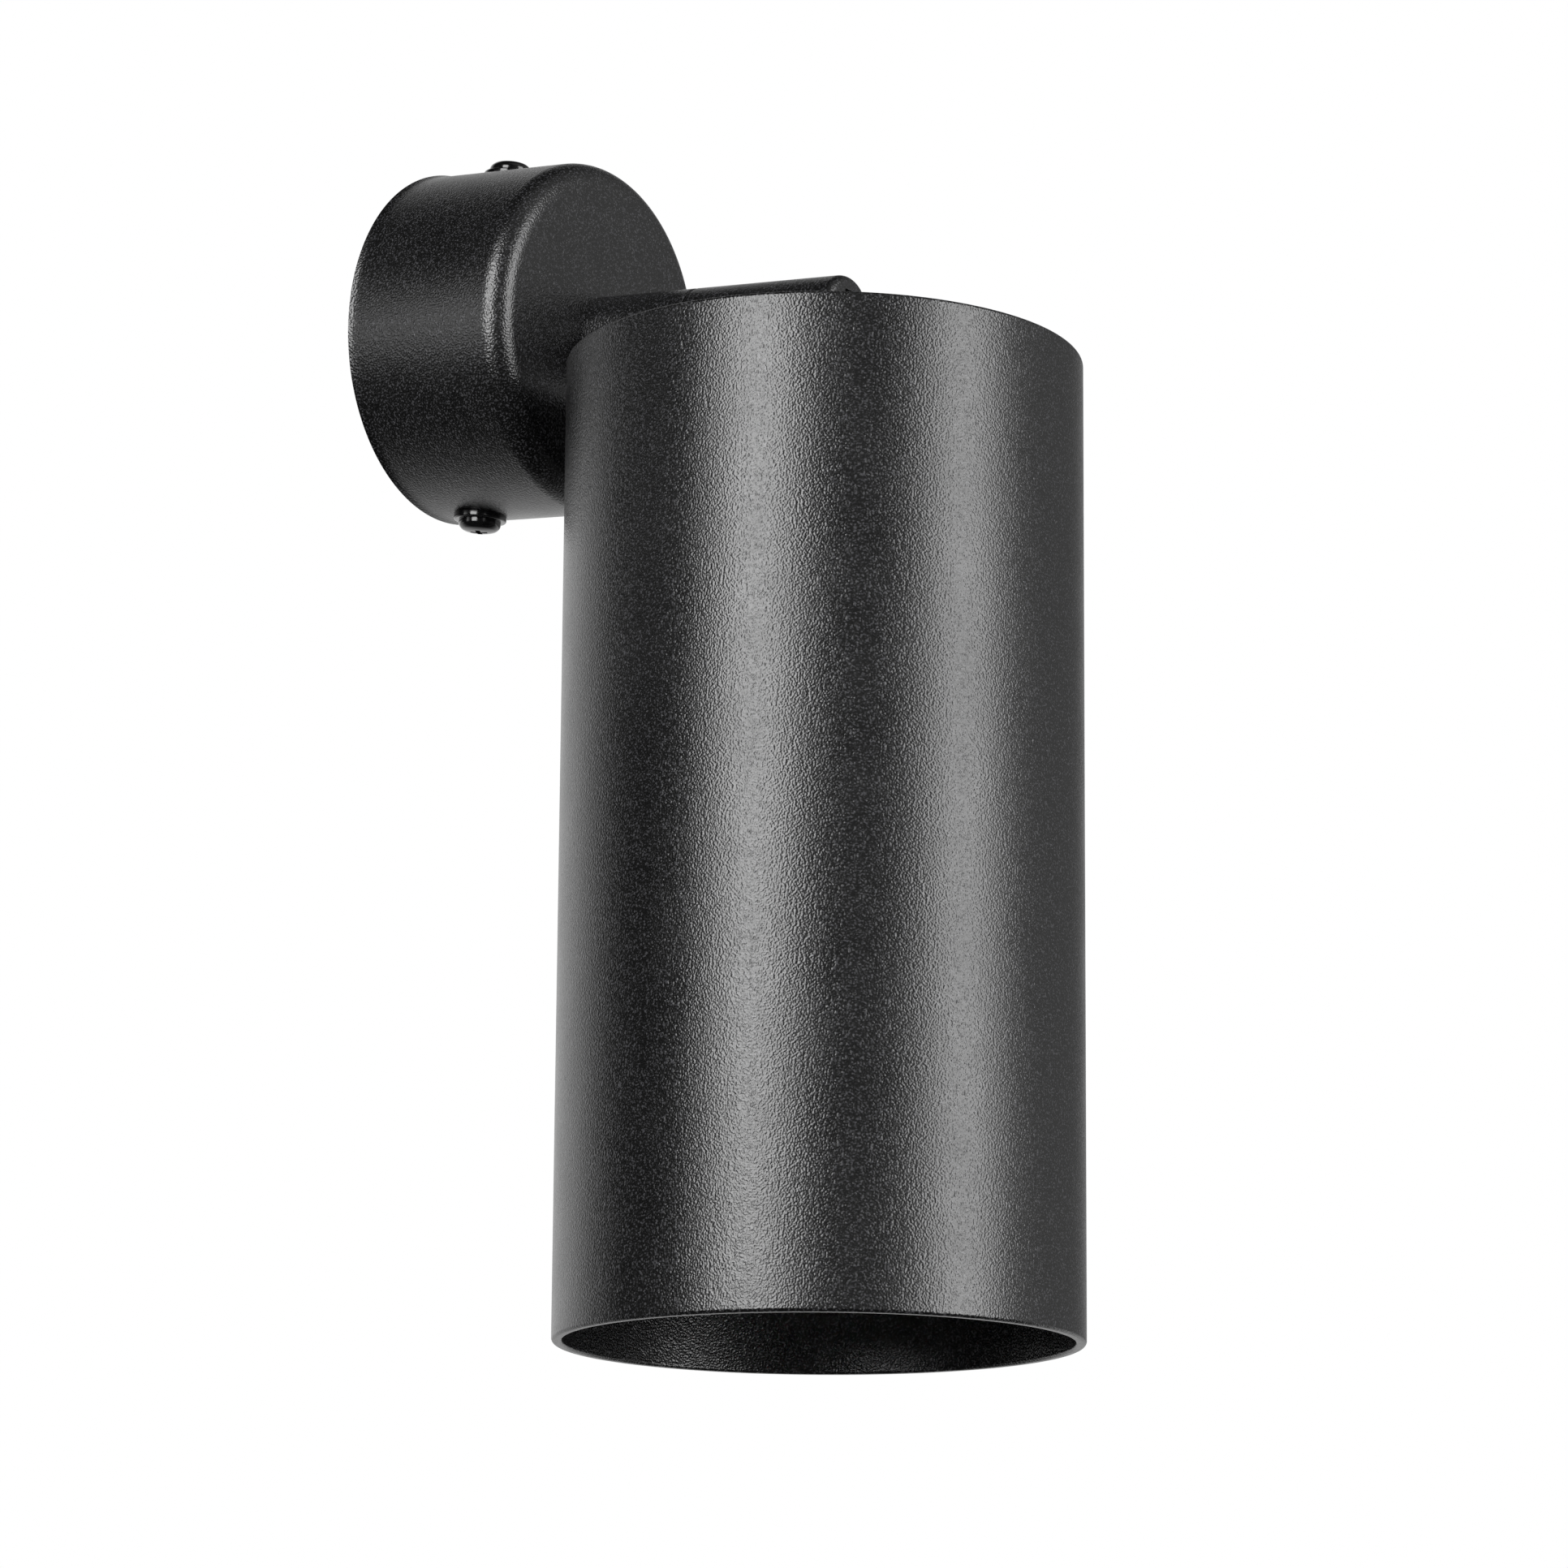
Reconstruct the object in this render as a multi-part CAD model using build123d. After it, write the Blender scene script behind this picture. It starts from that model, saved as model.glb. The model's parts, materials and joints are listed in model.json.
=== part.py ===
from build123d import *
import os
from math import cos, radians, sin, sqrt

# Tube wall light, in millimetres.
# Origin: centre of the round wall plate, on the wall plane.
# +Z up, the light reaches out from the wall towards -Y, +X to the right seen from the room.
# Depths from the wall are written as positive numbers, so a depth d lies at y = -d.

# ---- clearances --------------------------------------------------------------------------
RUN = 0.05            # radial clearance of a turning, sliding or threaded fit
SEAM = 0.3            # gap between the two halves of the arm
SHEET_GAP = 0.3       # gap between a bent sheet and the housing around it
THROUGH = 0.2         # radial clearance of a screw in a plain through hole
OVERCUT = 1.0         # how far a cutting tool starts and ends outside what it cuts
STUD_CHAMFER = 0.5    # chamfer on the ends of the hollow studs

# ---- canopy: the round cup on the wall ----------------------------------------------------
CANOPY_D = 70.0
CANOPY_DEPTH = 37.0
CANOPY_WALL = 1.5
CANOPY_FILLET = 5.0
FLARE_OUT = 0.4       # the rear rim turns out by this much
FLARE_RUN = 2.0       # over this depth

# ---- canopy side screws -------------------------------------------------------------------
SIDE_SCREW_D = 4.0
SIDE_SCREW_DEPTH = 10.0
SIDE_SCREW_LENGTH = 7.0
COLLAR_D = 10.6
COLLAR_T = 1.0
PAN_D = 8.5
PAN_H = 2.4
CROSS_LENGTH = 5.0
CROSS_WIDTH = 1.2
CROSS_DEEP = 1.8
UPPER_SCREW_TURN = 20.0  # degrees that each screw's cross is turned about its axis
LOWER_SCREW_TURN = 65.0

# ---- wall plate ---------------------------------------------------------------------------
PLATE_T = 1.5
PLATE_GAP = 3.5       # from the plate's edge to the inside of the canopy
TAB_W = 12.0
TAB_REACH = 15.5
TAB_BEND = 2.5        # outside radius of the bend
SLOT_SPACING = 44.0
SLOT_LENGTH = 9.0
SLOT_W = 4.5
INLET_D = 14.0        # hole for the mains cable
GROMMET_BORE = 9.0
GROMMET_LIP = 1.5     # thickness of the lip in front of the plate
GROMMET_LIP_OUT = 2.0 # how far the lip stands over the hole's edge

# ---- terminal block and earth -------------------------------------------------------------
POLE_PITCH = 9.0
POLES = 2
BLOCK_X = 18.0        # centre of the block, beside the inlet
BLOCK_W = 15.0
BLOCK_END = 2.5       # plastic past the outer poles
BLOCK_BASE = 8.5      # height of the block's lower body
TOWER_H = 12.0        # height of a screw tower over the plate
TOWER_W = 5.6
CLAMP_D = 4.6
CLAMP_BORE = 2.6
CLAMP_H = 5.0         # height of the clamp's axis over the plate
CLAMP_LENGTH = 12.0
CLAMP_SCREW_D = 3.0
CLAMP_SCREW_SPREAD = 7.0
CLAMP_SCREW_SINK = 0.8  # from the top of the tower down to the screw's head
SCREW_SLOT_W = 0.6
SCREW_SLOT_DEEP = 0.7
BLOCK_SCREW_D = 3.0
BLOCK_HEAD_D = 5.2
BLOCK_HEAD_H = 1.8
EARTH_X = -18.0
EARTH_SCREW_D = 4.0
LUG_T = 0.8
LUG_R = 4.2
LUG_NECK_W = 3.2
LUG_BARREL_WALL = 0.7
LUG_BARREL_START = 2.0  # from the ring's edge out to the barrel
LUG_BARREL_LENGTH = 5.0
LUG_BORE_START = 3.0    # from the ring's edge out to the bore's floor
LUG_TURN = 45.0       # the lug's barrel points this far above the horizontal

# ---- arm ----------------------------------------------------------------------------------
ARM_D = 16.0
ARM_BASE_LENGTH = 23.0
ARM_HEAD_LENGTH = 35.0
ARM_END_FILLET = 1.8
SEAM_EDGE = 0.4
NIPPLE_D = 10.0
NIPPLE_GRIP = 10.0    # length screwed into the arm
NIPPLE_INSIDE = 8.0   # length standing inside the canopy
WIRE_BORE = 6.6
NIPPLE_NUT_AF = 14.0
NIPPLE_NUT_T = 4.0
NIPPLE_WASHER_D = 18.0
NIPPLE_WASHER_T = 1.0

# ---- swivel in the arm --------------------------------------------------------------------
SPIGOT_D = 11.9
SOCKET_DEEP = 8.4
SWIVEL_WASHER_T = 0.5
SWIVEL_WASHER_GAP = 0.1
GROOVE_DEEP = 1.0     # depth of the groove round the spigot
GROOVE_W = 3.0
GRUB_D = 3.0
GRUB_TIP_D = 2.8
GRUB_SINK = 0.4       # from the arm's surface in to the grub screw's end
GRUB_KEY_AF = 1.5
GRUB_KEY_DEEP = 1.0
GRUB_BACK = 3.7       # depth of the grub screw behind the seam
GROOVE_STOP = 30.0    # degrees of groove left solid, opposite the grub screw

# ---- tilt knuckle at the end of the arm ---------------------------------------------------
PIVOT_BACK = 5.6      # from the arm's end face back to the pivot
SLOT_DEEP = 17.0      # from the arm's end face back to the slot's floor
TONGUE_ROOM = 0.2     # from the tongue's round end to the slot's roof
TONGUE_T = 3.0
TONGUE_W = 9.6
TILT_WASHER_D = 9.0
TILT_WASHER_T = 0.5
PIVOT_D = 3.0
PIVOT_HEAD_D = 5.5
PIVOT_HEAD_H = 2.4
PIVOT_NUT_AF = 5.5
PIVOT_NUT_T = 2.4
KNUCKLE_SINK = 3.0    # depth of the sinks for the pivot's head and nut
SINK_ROOM = 0.3       # radial clearance of the pivot's head in its sink
NUT_ROOM = 0.2        # the same for the corners of its nut

# ---- lamp tube ----------------------------------------------------------------------------
TUBE_D = 100.0
TUBE_LENGTH = 190.0
TUBE_WALL = 2.0
TUBE_EDGE = 0.7
RIM_CLEAR = 1.8       # from the arm's underside down to the tube's top rim
TILT = 4.75           # how far the tube leans out at rest, in degrees
CAP_RECESS = 3.0
CAP_T = 2.0
CAP_SKIRT = 8.0
CAP_SKIRT_T = 1.5
CAP_EDGE = 1.0
FLANGE_LENGTH = 30.0
FLANGE_W = 16.0
FLANGE_T = 2.0
FLANGE_CORNER = 3.0
FLANGE_FILLET = 0.8
FOOT_SCREW_D = 3.0
FOOT_SCREW_SPREAD = 22.0
FOOT_HEAD_D = 5.6
FOOT_HEAD_H = 2.0
CAP_GROMMET_Y = 18.0
CAP_GROMMET_HOLE = 9.0
CAP_GROMMET_LIP = 1.2
CAP_GROMMET_LIP_OUT = 1.5

# ---- lampholder ---------------------------------------------------------------------------
BRACKET_T = 1.2
BRACKET_LENGTH = 32.0
BRACKET_W = 16.0
BRACKET_DEEP = 21.0
BRACKET_BEND = 2.4
HOLDER_D = 39.0
HOLDER_LENGTH = 45.0
HOLDER_WALL = 2.4
HOLDER_NECK_D = 22.0
HOLDER_NECK = 5.0
HOLDER_SHOULDER = 7.0
HOLDER_SLOPE = (1.0, -0.12)  # direction in which the shoulder leaves the neck
HOLDER_TOP_T = 4.0
HOLDER_NECK_WALL = 3.0
HOLDER_EDGE = 1.0     # rounding of the mouth's outer edge
INSERT_T = 5.0
INSERT_DEEP = 23.0    # from the holder's mouth up to the insert's lower face
STUD_LENGTH = 10.0    # hollow stud between bracket and holder
LAMP_CAP_D = 26.3     # screw cap of the lamp
SHELL_T = 0.4
SHELL_LENGTH = 18.0
CONTACT_T = 0.5
CONTACT_W = 5.0
CONTACT_DROP = 2.0
HOLDER_TERMINAL_D = 3.2
HOLDER_TERMINAL_HEAD_D = 5.2
HOLDER_TERMINAL_HEAD_H = 1.6
HOLDER_TERMINAL_SLOT = 0.8
HOLDER_TERMINAL_FLOOR = 1.0  # ceramic left under the screws' holes
HOLDER_TERMINAL_SPREAD = 20.0
HOLDER_TERMINAL_TURN = 35.0  # degrees that the screws' slots are turned

# ---- lamp ---------------------------------------------------------------------------------
LAMP_D = 60.0
LAMP_LENGTH = 108.0
LAMP_CAP_LENGTH = 25.0
LAMP_CAP_WALL = 0.6
LAMP_CAP_BEVEL = 1.2
LAMP_TIP_D = 9.0
LAMP_TIP_H = 1.6
LAMP_GLASS_H = 3.0    # insulating ring between the tip and the screw cap
LAMP_NECK_WALL = 1.35 # the body's neck stands this far out from the screw cap
LAMP_SHOULDER = 33.0  # length of the body under the cap
LAMP_SKIN = 1.3
LAMP_STEP = LAMP_SKIN * 0.3  # the body's rim stands this far inside the lamp's full radius
LAMP_BODY_EDGE = 1.5  # width of the body's rim beyond the diffuser's skin
LAMP_BODY_TOP_T = 6.0
LAMP_BODY_NECK = 4.0  # length of the straight neck under the screw cap
LAMP_BODY_WALL = 3.0
LAMP_FLARE = (0.25, -1.0)    # direction in which the body widens from its neck
LAMP_GLASS_BACK = 2.2 # the ring's lower edge stands this far inside the screw cap
LAMP_GLASS_LAND = 1.0 # width of the ring's flat top round the tip
DIFFUSER_GAP = 0.1

# ---- leads --------------------------------------------------------------------------------
LEAD_D = 5.2
CORE_D = 1.9
CORE_CIRCLE = 1.35    # radius on which the cores leave the lead
CORE_STRAIGHT = 11.0  # straight stretch of each core before the lead
CORE_BEND = 4.0
LEAD_BEND = 4.5       # bend radius of the lead between cap and lampholder
LEAD_LOW = 1.5        # from the hollow stud's inner end back to where the cores start
LEAD_FALL = 1.0       # how much the lead falls on its way across to the stud
LEAD_OVERLAP = 2.0    # how far it goes into the lampholder
CLAMP_CORE_X = BLOCK_X - 1.0  # where the cores end in the clamps
EARTH_CORE_START = LUG_BORE_START + 0.2
EARTH_CORE_REACH = 12.5
LIVE_TURN, NEUTRAL_TURN, EARTH_TURN = 60.0, -60.0, 180.0

ARM_R = ARM_D / 2
CANOPY_R = CANOPY_D / 2
TUBE_R = TUBE_D / 2
HEAD_SINK_D = PIVOT_HEAD_D + 2 * SINK_ROOM
NUT_SINK_D = PIVOT_NUT_AF * 2 / sqrt(3) + 2 * NUT_ROOM
PLATE_R = CANOPY_R - CANOPY_WALL - PLATE_GAP
SEAM_DEPTH = CANOPY_DEPTH + ARM_BASE_LENGTH
ARM_END_DEPTH = SEAM_DEPTH + ARM_HEAD_LENGTH
PIVOT_DEPTH = ARM_END_DEPTH - PIVOT_BACK
KNUCKLE_SLOT_START = ARM_END_DEPTH - SLOT_DEEP
KNUCKLE_SLOT_W = TONGUE_T + 2 * TILT_WASHER_T + 4 * RUN
KNUCKLE_SLOT_TOP = TONGUE_W / 2 + TONGUE_ROOM
RIM_DROP = ARM_R + RIM_CLEAR
TAB_Z = sqrt((CANOPY_R - CANOPY_WALL) ** 2 - (TAB_W / 2) ** 2) - SHEET_GAP
SOCKET_FLOOR = SEAM_DEPTH - SOCKET_DEEP
SPIGOT_END = SOCKET_FLOOR + SWIVEL_WASHER_T + SWIVEL_WASHER_GAP
GRUB_DEPTH = SEAM_DEPTH - GRUB_BACK
CANOPY_LEAD_START = CANOPY_DEPTH - CANOPY_WALL - NIPPLE_INSIDE - LEAD_LOW

# Heights in the lamp's own frame: pivot at the origin, tube axis upright.
CAP_TOP = -RIM_DROP - CAP_RECESS
CAP_UNDER = CAP_TOP - CAP_T
BRACKET_WEB_UNDER = CAP_UNDER - BRACKET_DEEP
HOLDER_TOP = BRACKET_WEB_UNDER
HOLDER_MOUTH = HOLDER_TOP - HOLDER_LENGTH
INSERT_UNDER = HOLDER_MOUTH + INSERT_DEEP
LAMP_TIP = INSERT_UNDER - CONTACT_DROP - RUN
LAMP_BODY_TOP = LAMP_TIP - LAMP_CAP_LENGTH
LAMP_BOTTOM = LAMP_TIP - LAMP_LENGTH

LAMP_FRAME = Pos(0, -PIVOT_DEPTH, 0) * Rot(-TILT, 0, 0)


# ---- small building blocks ----------------------------------------------------------------
def along_y(radius, near, far):
    """Round bar on the arm's axis between two depths from the wall."""
    return Pos(0, -(near + far) / 2, 0) * Rot(90, 0, 0) * Cylinder(radius, far - near)


def along_z(radius, low, high, x=0.0, y=0.0):
    """Upright round bar between two heights."""
    return Pos(x, y, (low + high) / 2) * Cylinder(radius, high - low)


def along_x(radius, left, right, y=0.0, z=0.0):
    """Round bar across the object between two x positions."""
    return Pos((left + right) / 2, y, z) * Rot(0, 90, 0) * Cylinder(radius, right - left)


def block(x, y, z):
    """Box between two corners, given as a low and a high value for each axis."""
    size = (x[1] - x[0], y[1] - y[0], z[1] - z[0])
    return Pos(sum(x) / 2, sum(y) / 2, sum(z) / 2) * Box(*size)


def hexagon_bar(across_flats, height):
    """Upright hexagonal bar centred on the origin."""
    return extrude(RegularPolygon(across_flats / 2, 6, major_radius=False), height / 2, both=True)


def turned(points_and_arcs, axis):
    """Solid of revolution of a closed outline of edges."""
    return revolve(make_face(Curve() + points_and_arcs), axis)


def tube_along(path, radius):
    """Round bar swept along a path of runs and arcs."""
    return sweep(Plane(path @ 0, z_dir=path % 0) * Circle(radius), path)


def washer(outer_d, inner_d, thickness):
    """Flat ring centred on the origin, its axis upright."""
    return Cylinder(outer_d / 2, thickness) - Cylinder(inner_d / 2, thickness)


def cross_recess(length, width, deep):
    """Tapered cross recess that goes down from the origin, and a little above it."""
    foot = Pos(0, 0, -deep) * Rectangle(length * 0.45, width * 0.7)
    blade = loft([Rectangle(length, width).face(), foot.face()])
    mouth = Pos(0, 0, deep / 2) * Box(length, width, deep)
    return blade + mouth + Rot(0, 0, 90) * (blade + mouth)


def pan_head(diameter, height):
    """Domed screw head standing on the origin plane, with a cross recess."""
    rim = height * 0.35
    radius = diameter / 2
    outline = [
        Line((0, 0), (radius, 0)),
        Line((radius, 0), (radius, rim)),
        ThreePointArc((radius, rim), (radius * 0.74, height * 0.84), (0, height)),
        Line((0, height), (0, 0)),
    ]
    profile = Plane.XZ * make_face(Curve() + outline)
    return revolve(profile, Axis.Z)


# ---- wall side ----------------------------------------------------------------------------
def wall_plate():
    """Round steel plate with two tabs bent forward for the canopy's side screws."""
    plate = along_y(PLATE_R, 0, PLATE_T)
    strip = block((-TAB_W / 2, TAB_W / 2), (-TAB_REACH, 0), (-TAB_Z, TAB_Z))
    strip = fillet(strip.edges().filter_by(Axis.X).group_by(Axis.Y)[-1], TAB_BEND)
    inside = block((-TAB_W, TAB_W), (-2 * TAB_REACH, -PLATE_T), (PLATE_T - TAB_Z, TAB_Z - PLATE_T))
    inside = fillet(inside.edges().filter_by(Axis.X).group_by(Axis.Y)[-1], TAB_BEND - PLATE_T)
    plate += strip - inside
    for side in (-1, 1):
        low, high = side * TAB_Z - 2 * PLATE_T, side * TAB_Z + 2 * PLATE_T
        plate -= along_z(SIDE_SCREW_D / 2 + RUN, low, high, y=-SIDE_SCREW_DEPTH)
        slot = extrude(SlotOverall(SLOT_LENGTH, SLOT_W), 2 * PLATE_T, both=True)
        plate -= Pos(0, 0, side * SLOT_SPACING / 2) * Rot(90, 0, 90) * slot
    through = (-OVERCUT, PLATE_T + OVERCUT)
    plate -= along_y(INLET_D / 2, *through)
    plate -= Pos(BLOCK_X, 0, 0) * along_y(BLOCK_SCREW_D / 2 + RUN, *through)
    return plate - Pos(EARTH_X, 0, 0) * along_y(EARTH_SCREW_D / 2 + RUN, *through)


def cable_grommet():
    """Rubber ring in the inlet hole, its back lip kept inside the plate's thickness."""
    neck_r = INLET_D / 2 - RUN
    ring = along_y(neck_r, 0, PLATE_T + GROMMET_LIP)
    ring += along_y(neck_r + GROMMET_LIP_OUT, PLATE_T, PLATE_T + GROMMET_LIP)
    return ring - along_y(GROMMET_BORE / 2, -OVERCUT, PLATE_T + GROMMET_LIP + OVERCUT)


def canopy_cover():
    """Round spun cup with a rounded front edge and a rear rim that turns out a little."""
    outer, inner = CANOPY_R, CANOPY_R - CANOPY_WALL
    front, floor = CANOPY_DEPTH, CANOPY_DEPTH - CANOPY_WALL
    corner = CANOPY_R - CANOPY_FILLET
    corner_depth = CANOPY_DEPTH - CANOPY_FILLET
    inner_fillet = CANOPY_FILLET - CANOPY_WALL
    diagonal = sqrt(0.5)
    outline = [
        Line((0, -front), (corner, -front)),
        ThreePointArc(
            (corner, -front),
            (corner + CANOPY_FILLET * diagonal, -corner_depth - CANOPY_FILLET * diagonal),
            (outer, -corner_depth),
        ),
        Line((outer, -corner_depth), (outer, -FLARE_RUN)),
        TangentArc((outer, -FLARE_RUN), (outer + FLARE_OUT, 0), tangent=(0, 1)),
        Line((outer + FLARE_OUT, 0), (inner, 0)),
        Line((inner, 0), (inner, -corner_depth)),
        ThreePointArc(
            (inner, -corner_depth),
            (corner + inner_fillet * diagonal, -corner_depth - inner_fillet * diagonal),
            (corner, -floor),
        ),
        Line((corner, -floor), (0, -floor)),
        Line((0, -floor), (0, -front)),
    ]
    cup = turned(outline, Axis.Y)
    cup -= along_y(NIPPLE_D / 2 + RUN, floor - OVERCUT, front + OVERCUT)
    return cup - along_z(SIDE_SCREW_D / 2 + THROUGH, -2 * outer, 2 * outer, y=-SIDE_SCREW_DEPTH)


def canopy_screws():
    """Two collar screws, above and below, that hold the cup to the plate's tabs."""
    screw = Pos(0, 0, COLLAR_T) * pan_head(PAN_D, PAN_H)
    collar = along_z(COLLAR_D / 2, 0, COLLAR_T)
    screw += fillet(collar.edges().filter_by(GeomType.CIRCLE), COLLAR_T * 0.3)
    screw += along_z(SIDE_SCREW_D / 2, -SIDE_SCREW_LENGTH, COLLAR_T / 2)
    screw -= Pos(0, 0, COLLAR_T + PAN_H) * cross_recess(CROSS_LENGTH, CROSS_WIDTH, CROSS_DEEP)
    lift = CANOPY_R + RUN
    upper = Pos(0, -SIDE_SCREW_DEPTH, lift) * Rot(0, 0, UPPER_SCREW_TURN) * screw
    lower = Pos(0, -SIDE_SCREW_DEPTH, -lift) * Rot(180, 0, LOWER_SCREW_TURN) * screw
    return [upper, lower]


def pole_heights():
    """Height of each pole of the terminal block."""
    return [POLE_PITCH * (pole - (POLES - 1) / 2) for pole in range(POLES)]


def clamp_screw_places():
    """x of the two clamp screws of a pole."""
    return [BLOCK_X - CLAMP_SCREW_SPREAD / 2, BLOCK_X + CLAMP_SCREW_SPREAD / 2]


def terminal_block():
    """Two-pole plastic block with a screw tower over each end of each clamp."""
    half = POLE_PITCH * (POLES - 1) / 2 + CLAMP_D / 2 + BLOCK_END
    left, right = BLOCK_X - BLOCK_W / 2, BLOCK_X + BLOCK_W / 2
    body = block((left, right), (-PLATE_T - BLOCK_BASE, -PLATE_T), (-half, half))
    for height in pole_heights():
        for x in clamp_screw_places():
            body += Pos(x, 0, height) * along_y(TOWER_W / 2, PLATE_T + CLAMP_H, PLATE_T + TOWER_H)
    for height in pole_heights():
        ends = (left - OVERCUT, right + OVERCUT)
        body -= along_x(CLAMP_D / 2 + RUN, *ends, -PLATE_T - CLAMP_H, height)
        for x in clamp_screw_places():
            hole = along_y(CLAMP_SCREW_D / 2 + RUN, PLATE_T + CLAMP_H, PLATE_T + TOWER_H + OVERCUT)
            body -= Pos(x, 0, height) * hole
    screw_way = along_y(BLOCK_SCREW_D / 2 + RUN, 0, PLATE_T + TOWER_H)
    return body - Pos(BLOCK_X, 0, 0) * screw_way


def terminal_clamps():
    """Brass barrels that take the wires."""
    clamps = []
    for height in pole_heights():
        depth = PLATE_T + CLAMP_H
        left, right = BLOCK_X - CLAMP_LENGTH / 2, BLOCK_X + CLAMP_LENGTH / 2
        clamp = along_x(CLAMP_D / 2, left, right, -depth, height)
        clamp -= along_x(CLAMP_BORE / 2, left - OVERCUT, right + OVERCUT, -depth, height)
        for x in clamp_screw_places():
            clamp -= Pos(x, 0, height) * along_y(CLAMP_SCREW_D / 2 + RUN, depth, depth + CLAMP_D)
        clamps.append(clamp)
    return clamps


def clamp_screws():
    """Slotted screws that press the wires in the clamps."""
    tip = PLATE_T + CLAMP_H + CORE_D / 2 + RUN
    head = PLATE_T + TOWER_H - CLAMP_SCREW_SINK
    slot = (-SCREW_SLOT_W / 2, SCREW_SLOT_W / 2)
    screws = []
    for height in pole_heights():
        for x in clamp_screw_places():
            screw = along_y(CLAMP_SCREW_D / 2, tip, head)
            screw -= block((-CLAMP_SCREW_D, CLAMP_SCREW_D), (-head - OVERCUT, SCREW_SLOT_DEEP - head), slot)
            screws.append(Pos(x, 0, height) * screw)
    return screws


def block_screw():
    """Screw that holds the terminal block to the plate."""
    seat = PLATE_T + BLOCK_BASE + RUN
    top = seat + BLOCK_HEAD_H
    screw = along_y(BLOCK_SCREW_D / 2, 0, top - SCREW_SLOT_DEEP)
    screw += along_y(BLOCK_HEAD_D / 2, seat, top)
    slot = (-SCREW_SLOT_W / 2, SCREW_SLOT_W / 2)
    screw -= block((-BLOCK_HEAD_D, BLOCK_HEAD_D), (-top - OVERCUT, SCREW_SLOT_DEEP - top), slot)
    return Pos(BLOCK_X, 0, 0) * screw


def earth_lug():
    """Ring tag on the plate with a barrel for the earth core."""
    top = PLATE_T + LUG_T
    ring = along_y(LUG_R, PLATE_T, top)
    neck = block((0, LUG_R + LUG_BORE_START), (-top, -PLATE_T), (-LUG_NECK_W / 2, LUG_NECK_W / 2))
    barrel_r = CORE_D / 2 + LUG_BARREL_WALL
    start, bore_start = LUG_R + LUG_BARREL_START, LUG_R + LUG_BORE_START
    end = start + LUG_BARREL_LENGTH
    barrel = along_x(barrel_r, start, end, -PLATE_T - barrel_r)
    bore = along_x(CORE_D / 2 + RUN, bore_start, end + OVERCUT, -PLATE_T - barrel_r)
    lug = (ring + neck + barrel) - bore - along_y(EARTH_SCREW_D / 2 + RUN, 0, top + OVERCUT)
    return Pos(EARTH_X, 0, 0) * Rot(0, -LUG_TURN, 0) * lug


def earth_screw():
    """Pan-head screw that presses the lug on the plate."""
    seat = PLATE_T + LUG_T + RUN
    screw = Rot(90, 0, 0) * pan_head(EARTH_SCREW_D * 1.9, EARTH_SCREW_D * 0.6)
    screw = Pos(0, -seat, 0) * screw + along_y(EARTH_SCREW_D / 2, 0, seat + RUN)
    recess = cross_recess(CROSS_LENGTH * 0.9, CROSS_WIDTH, CROSS_DEEP * 0.8)
    screw -= Pos(0, -seat - EARTH_SCREW_D * 0.6, 0) * Rot(90, 0, 0) * recess
    return Pos(EARTH_X, 0, 0) * screw


# ---- arm, fixed half ----------------------------------------------------------------------
def arm_nipple():
    """Hollow threaded stud that joins the arm to the canopy's front."""
    floor = CANOPY_DEPTH - CANOPY_WALL
    ends = (floor - NIPPLE_INSIDE, CANOPY_DEPTH + NIPPLE_GRIP)
    stud = chamfer(along_y(NIPPLE_D / 2, *ends).edges(), STUD_CHAMFER)
    return stud - along_y(WIRE_BORE / 2, ends[0] - OVERCUT, ends[1] + OVERCUT)


def nipple_washer():
    """Washer between the nut and the inside of the canopy's front."""
    middle = CANOPY_DEPTH - CANOPY_WALL - NIPPLE_WASHER_T / 2
    ring = washer(NIPPLE_WASHER_D, NIPPLE_D + 2 * RUN, NIPPLE_WASHER_T)
    return Pos(0, -middle, 0) * Rot(90, 0, 0) * ring


def nipple_nut():
    """Hexagon nut on the hollow stud, inside the canopy."""
    middle = CANOPY_DEPTH - CANOPY_WALL - NIPPLE_WASHER_T - NIPPLE_NUT_T / 2
    nut = hexagon_bar(NIPPLE_NUT_AF, NIPPLE_NUT_T) & Cylinder(NIPPLE_NUT_AF * 0.56, NIPPLE_NUT_T)
    nut -= Cylinder(NIPPLE_D / 2 + RUN, NIPPLE_NUT_T)
    return Pos(0, -middle, 0) * Rot(90, 0, 0) * nut


def arm_base():
    """Fixed half of the arm: threaded at the canopy, with the swivel's socket at the seam."""
    bar = along_y(ARM_R, CANOPY_DEPTH, SEAM_DEPTH)
    bar = fillet(bar.edges().filter_by(GeomType.CIRCLE).sort_by(Axis.Y)[0], SEAM_EDGE)
    bar -= along_y(NIPPLE_D / 2 + RUN, CANOPY_DEPTH - OVERCUT, CANOPY_DEPTH + NIPPLE_GRIP + THROUGH)
    bar -= along_y(WIRE_BORE / 2, CANOPY_DEPTH, SEAM_DEPTH)
    bar -= along_y(SPIGOT_D / 2 + RUN, SOCKET_FLOOR, SEAM_DEPTH + OVERCUT)
    return bar - along_x(GRUB_D / 2 + RUN, 0, ARM_R + OVERCUT, -GRUB_DEPTH)


def swivel_washer():
    """Thin slippery washer on the floor of the swivel's socket."""
    middle = SOCKET_FLOOR + SWIVEL_WASHER_T / 2
    ring = washer(SPIGOT_D - 2 * RUN, WIRE_BORE + 2 * THROUGH, SWIVEL_WASHER_T)
    return Pos(0, -middle, 0) * Rot(90, 0, 0) * ring


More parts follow.
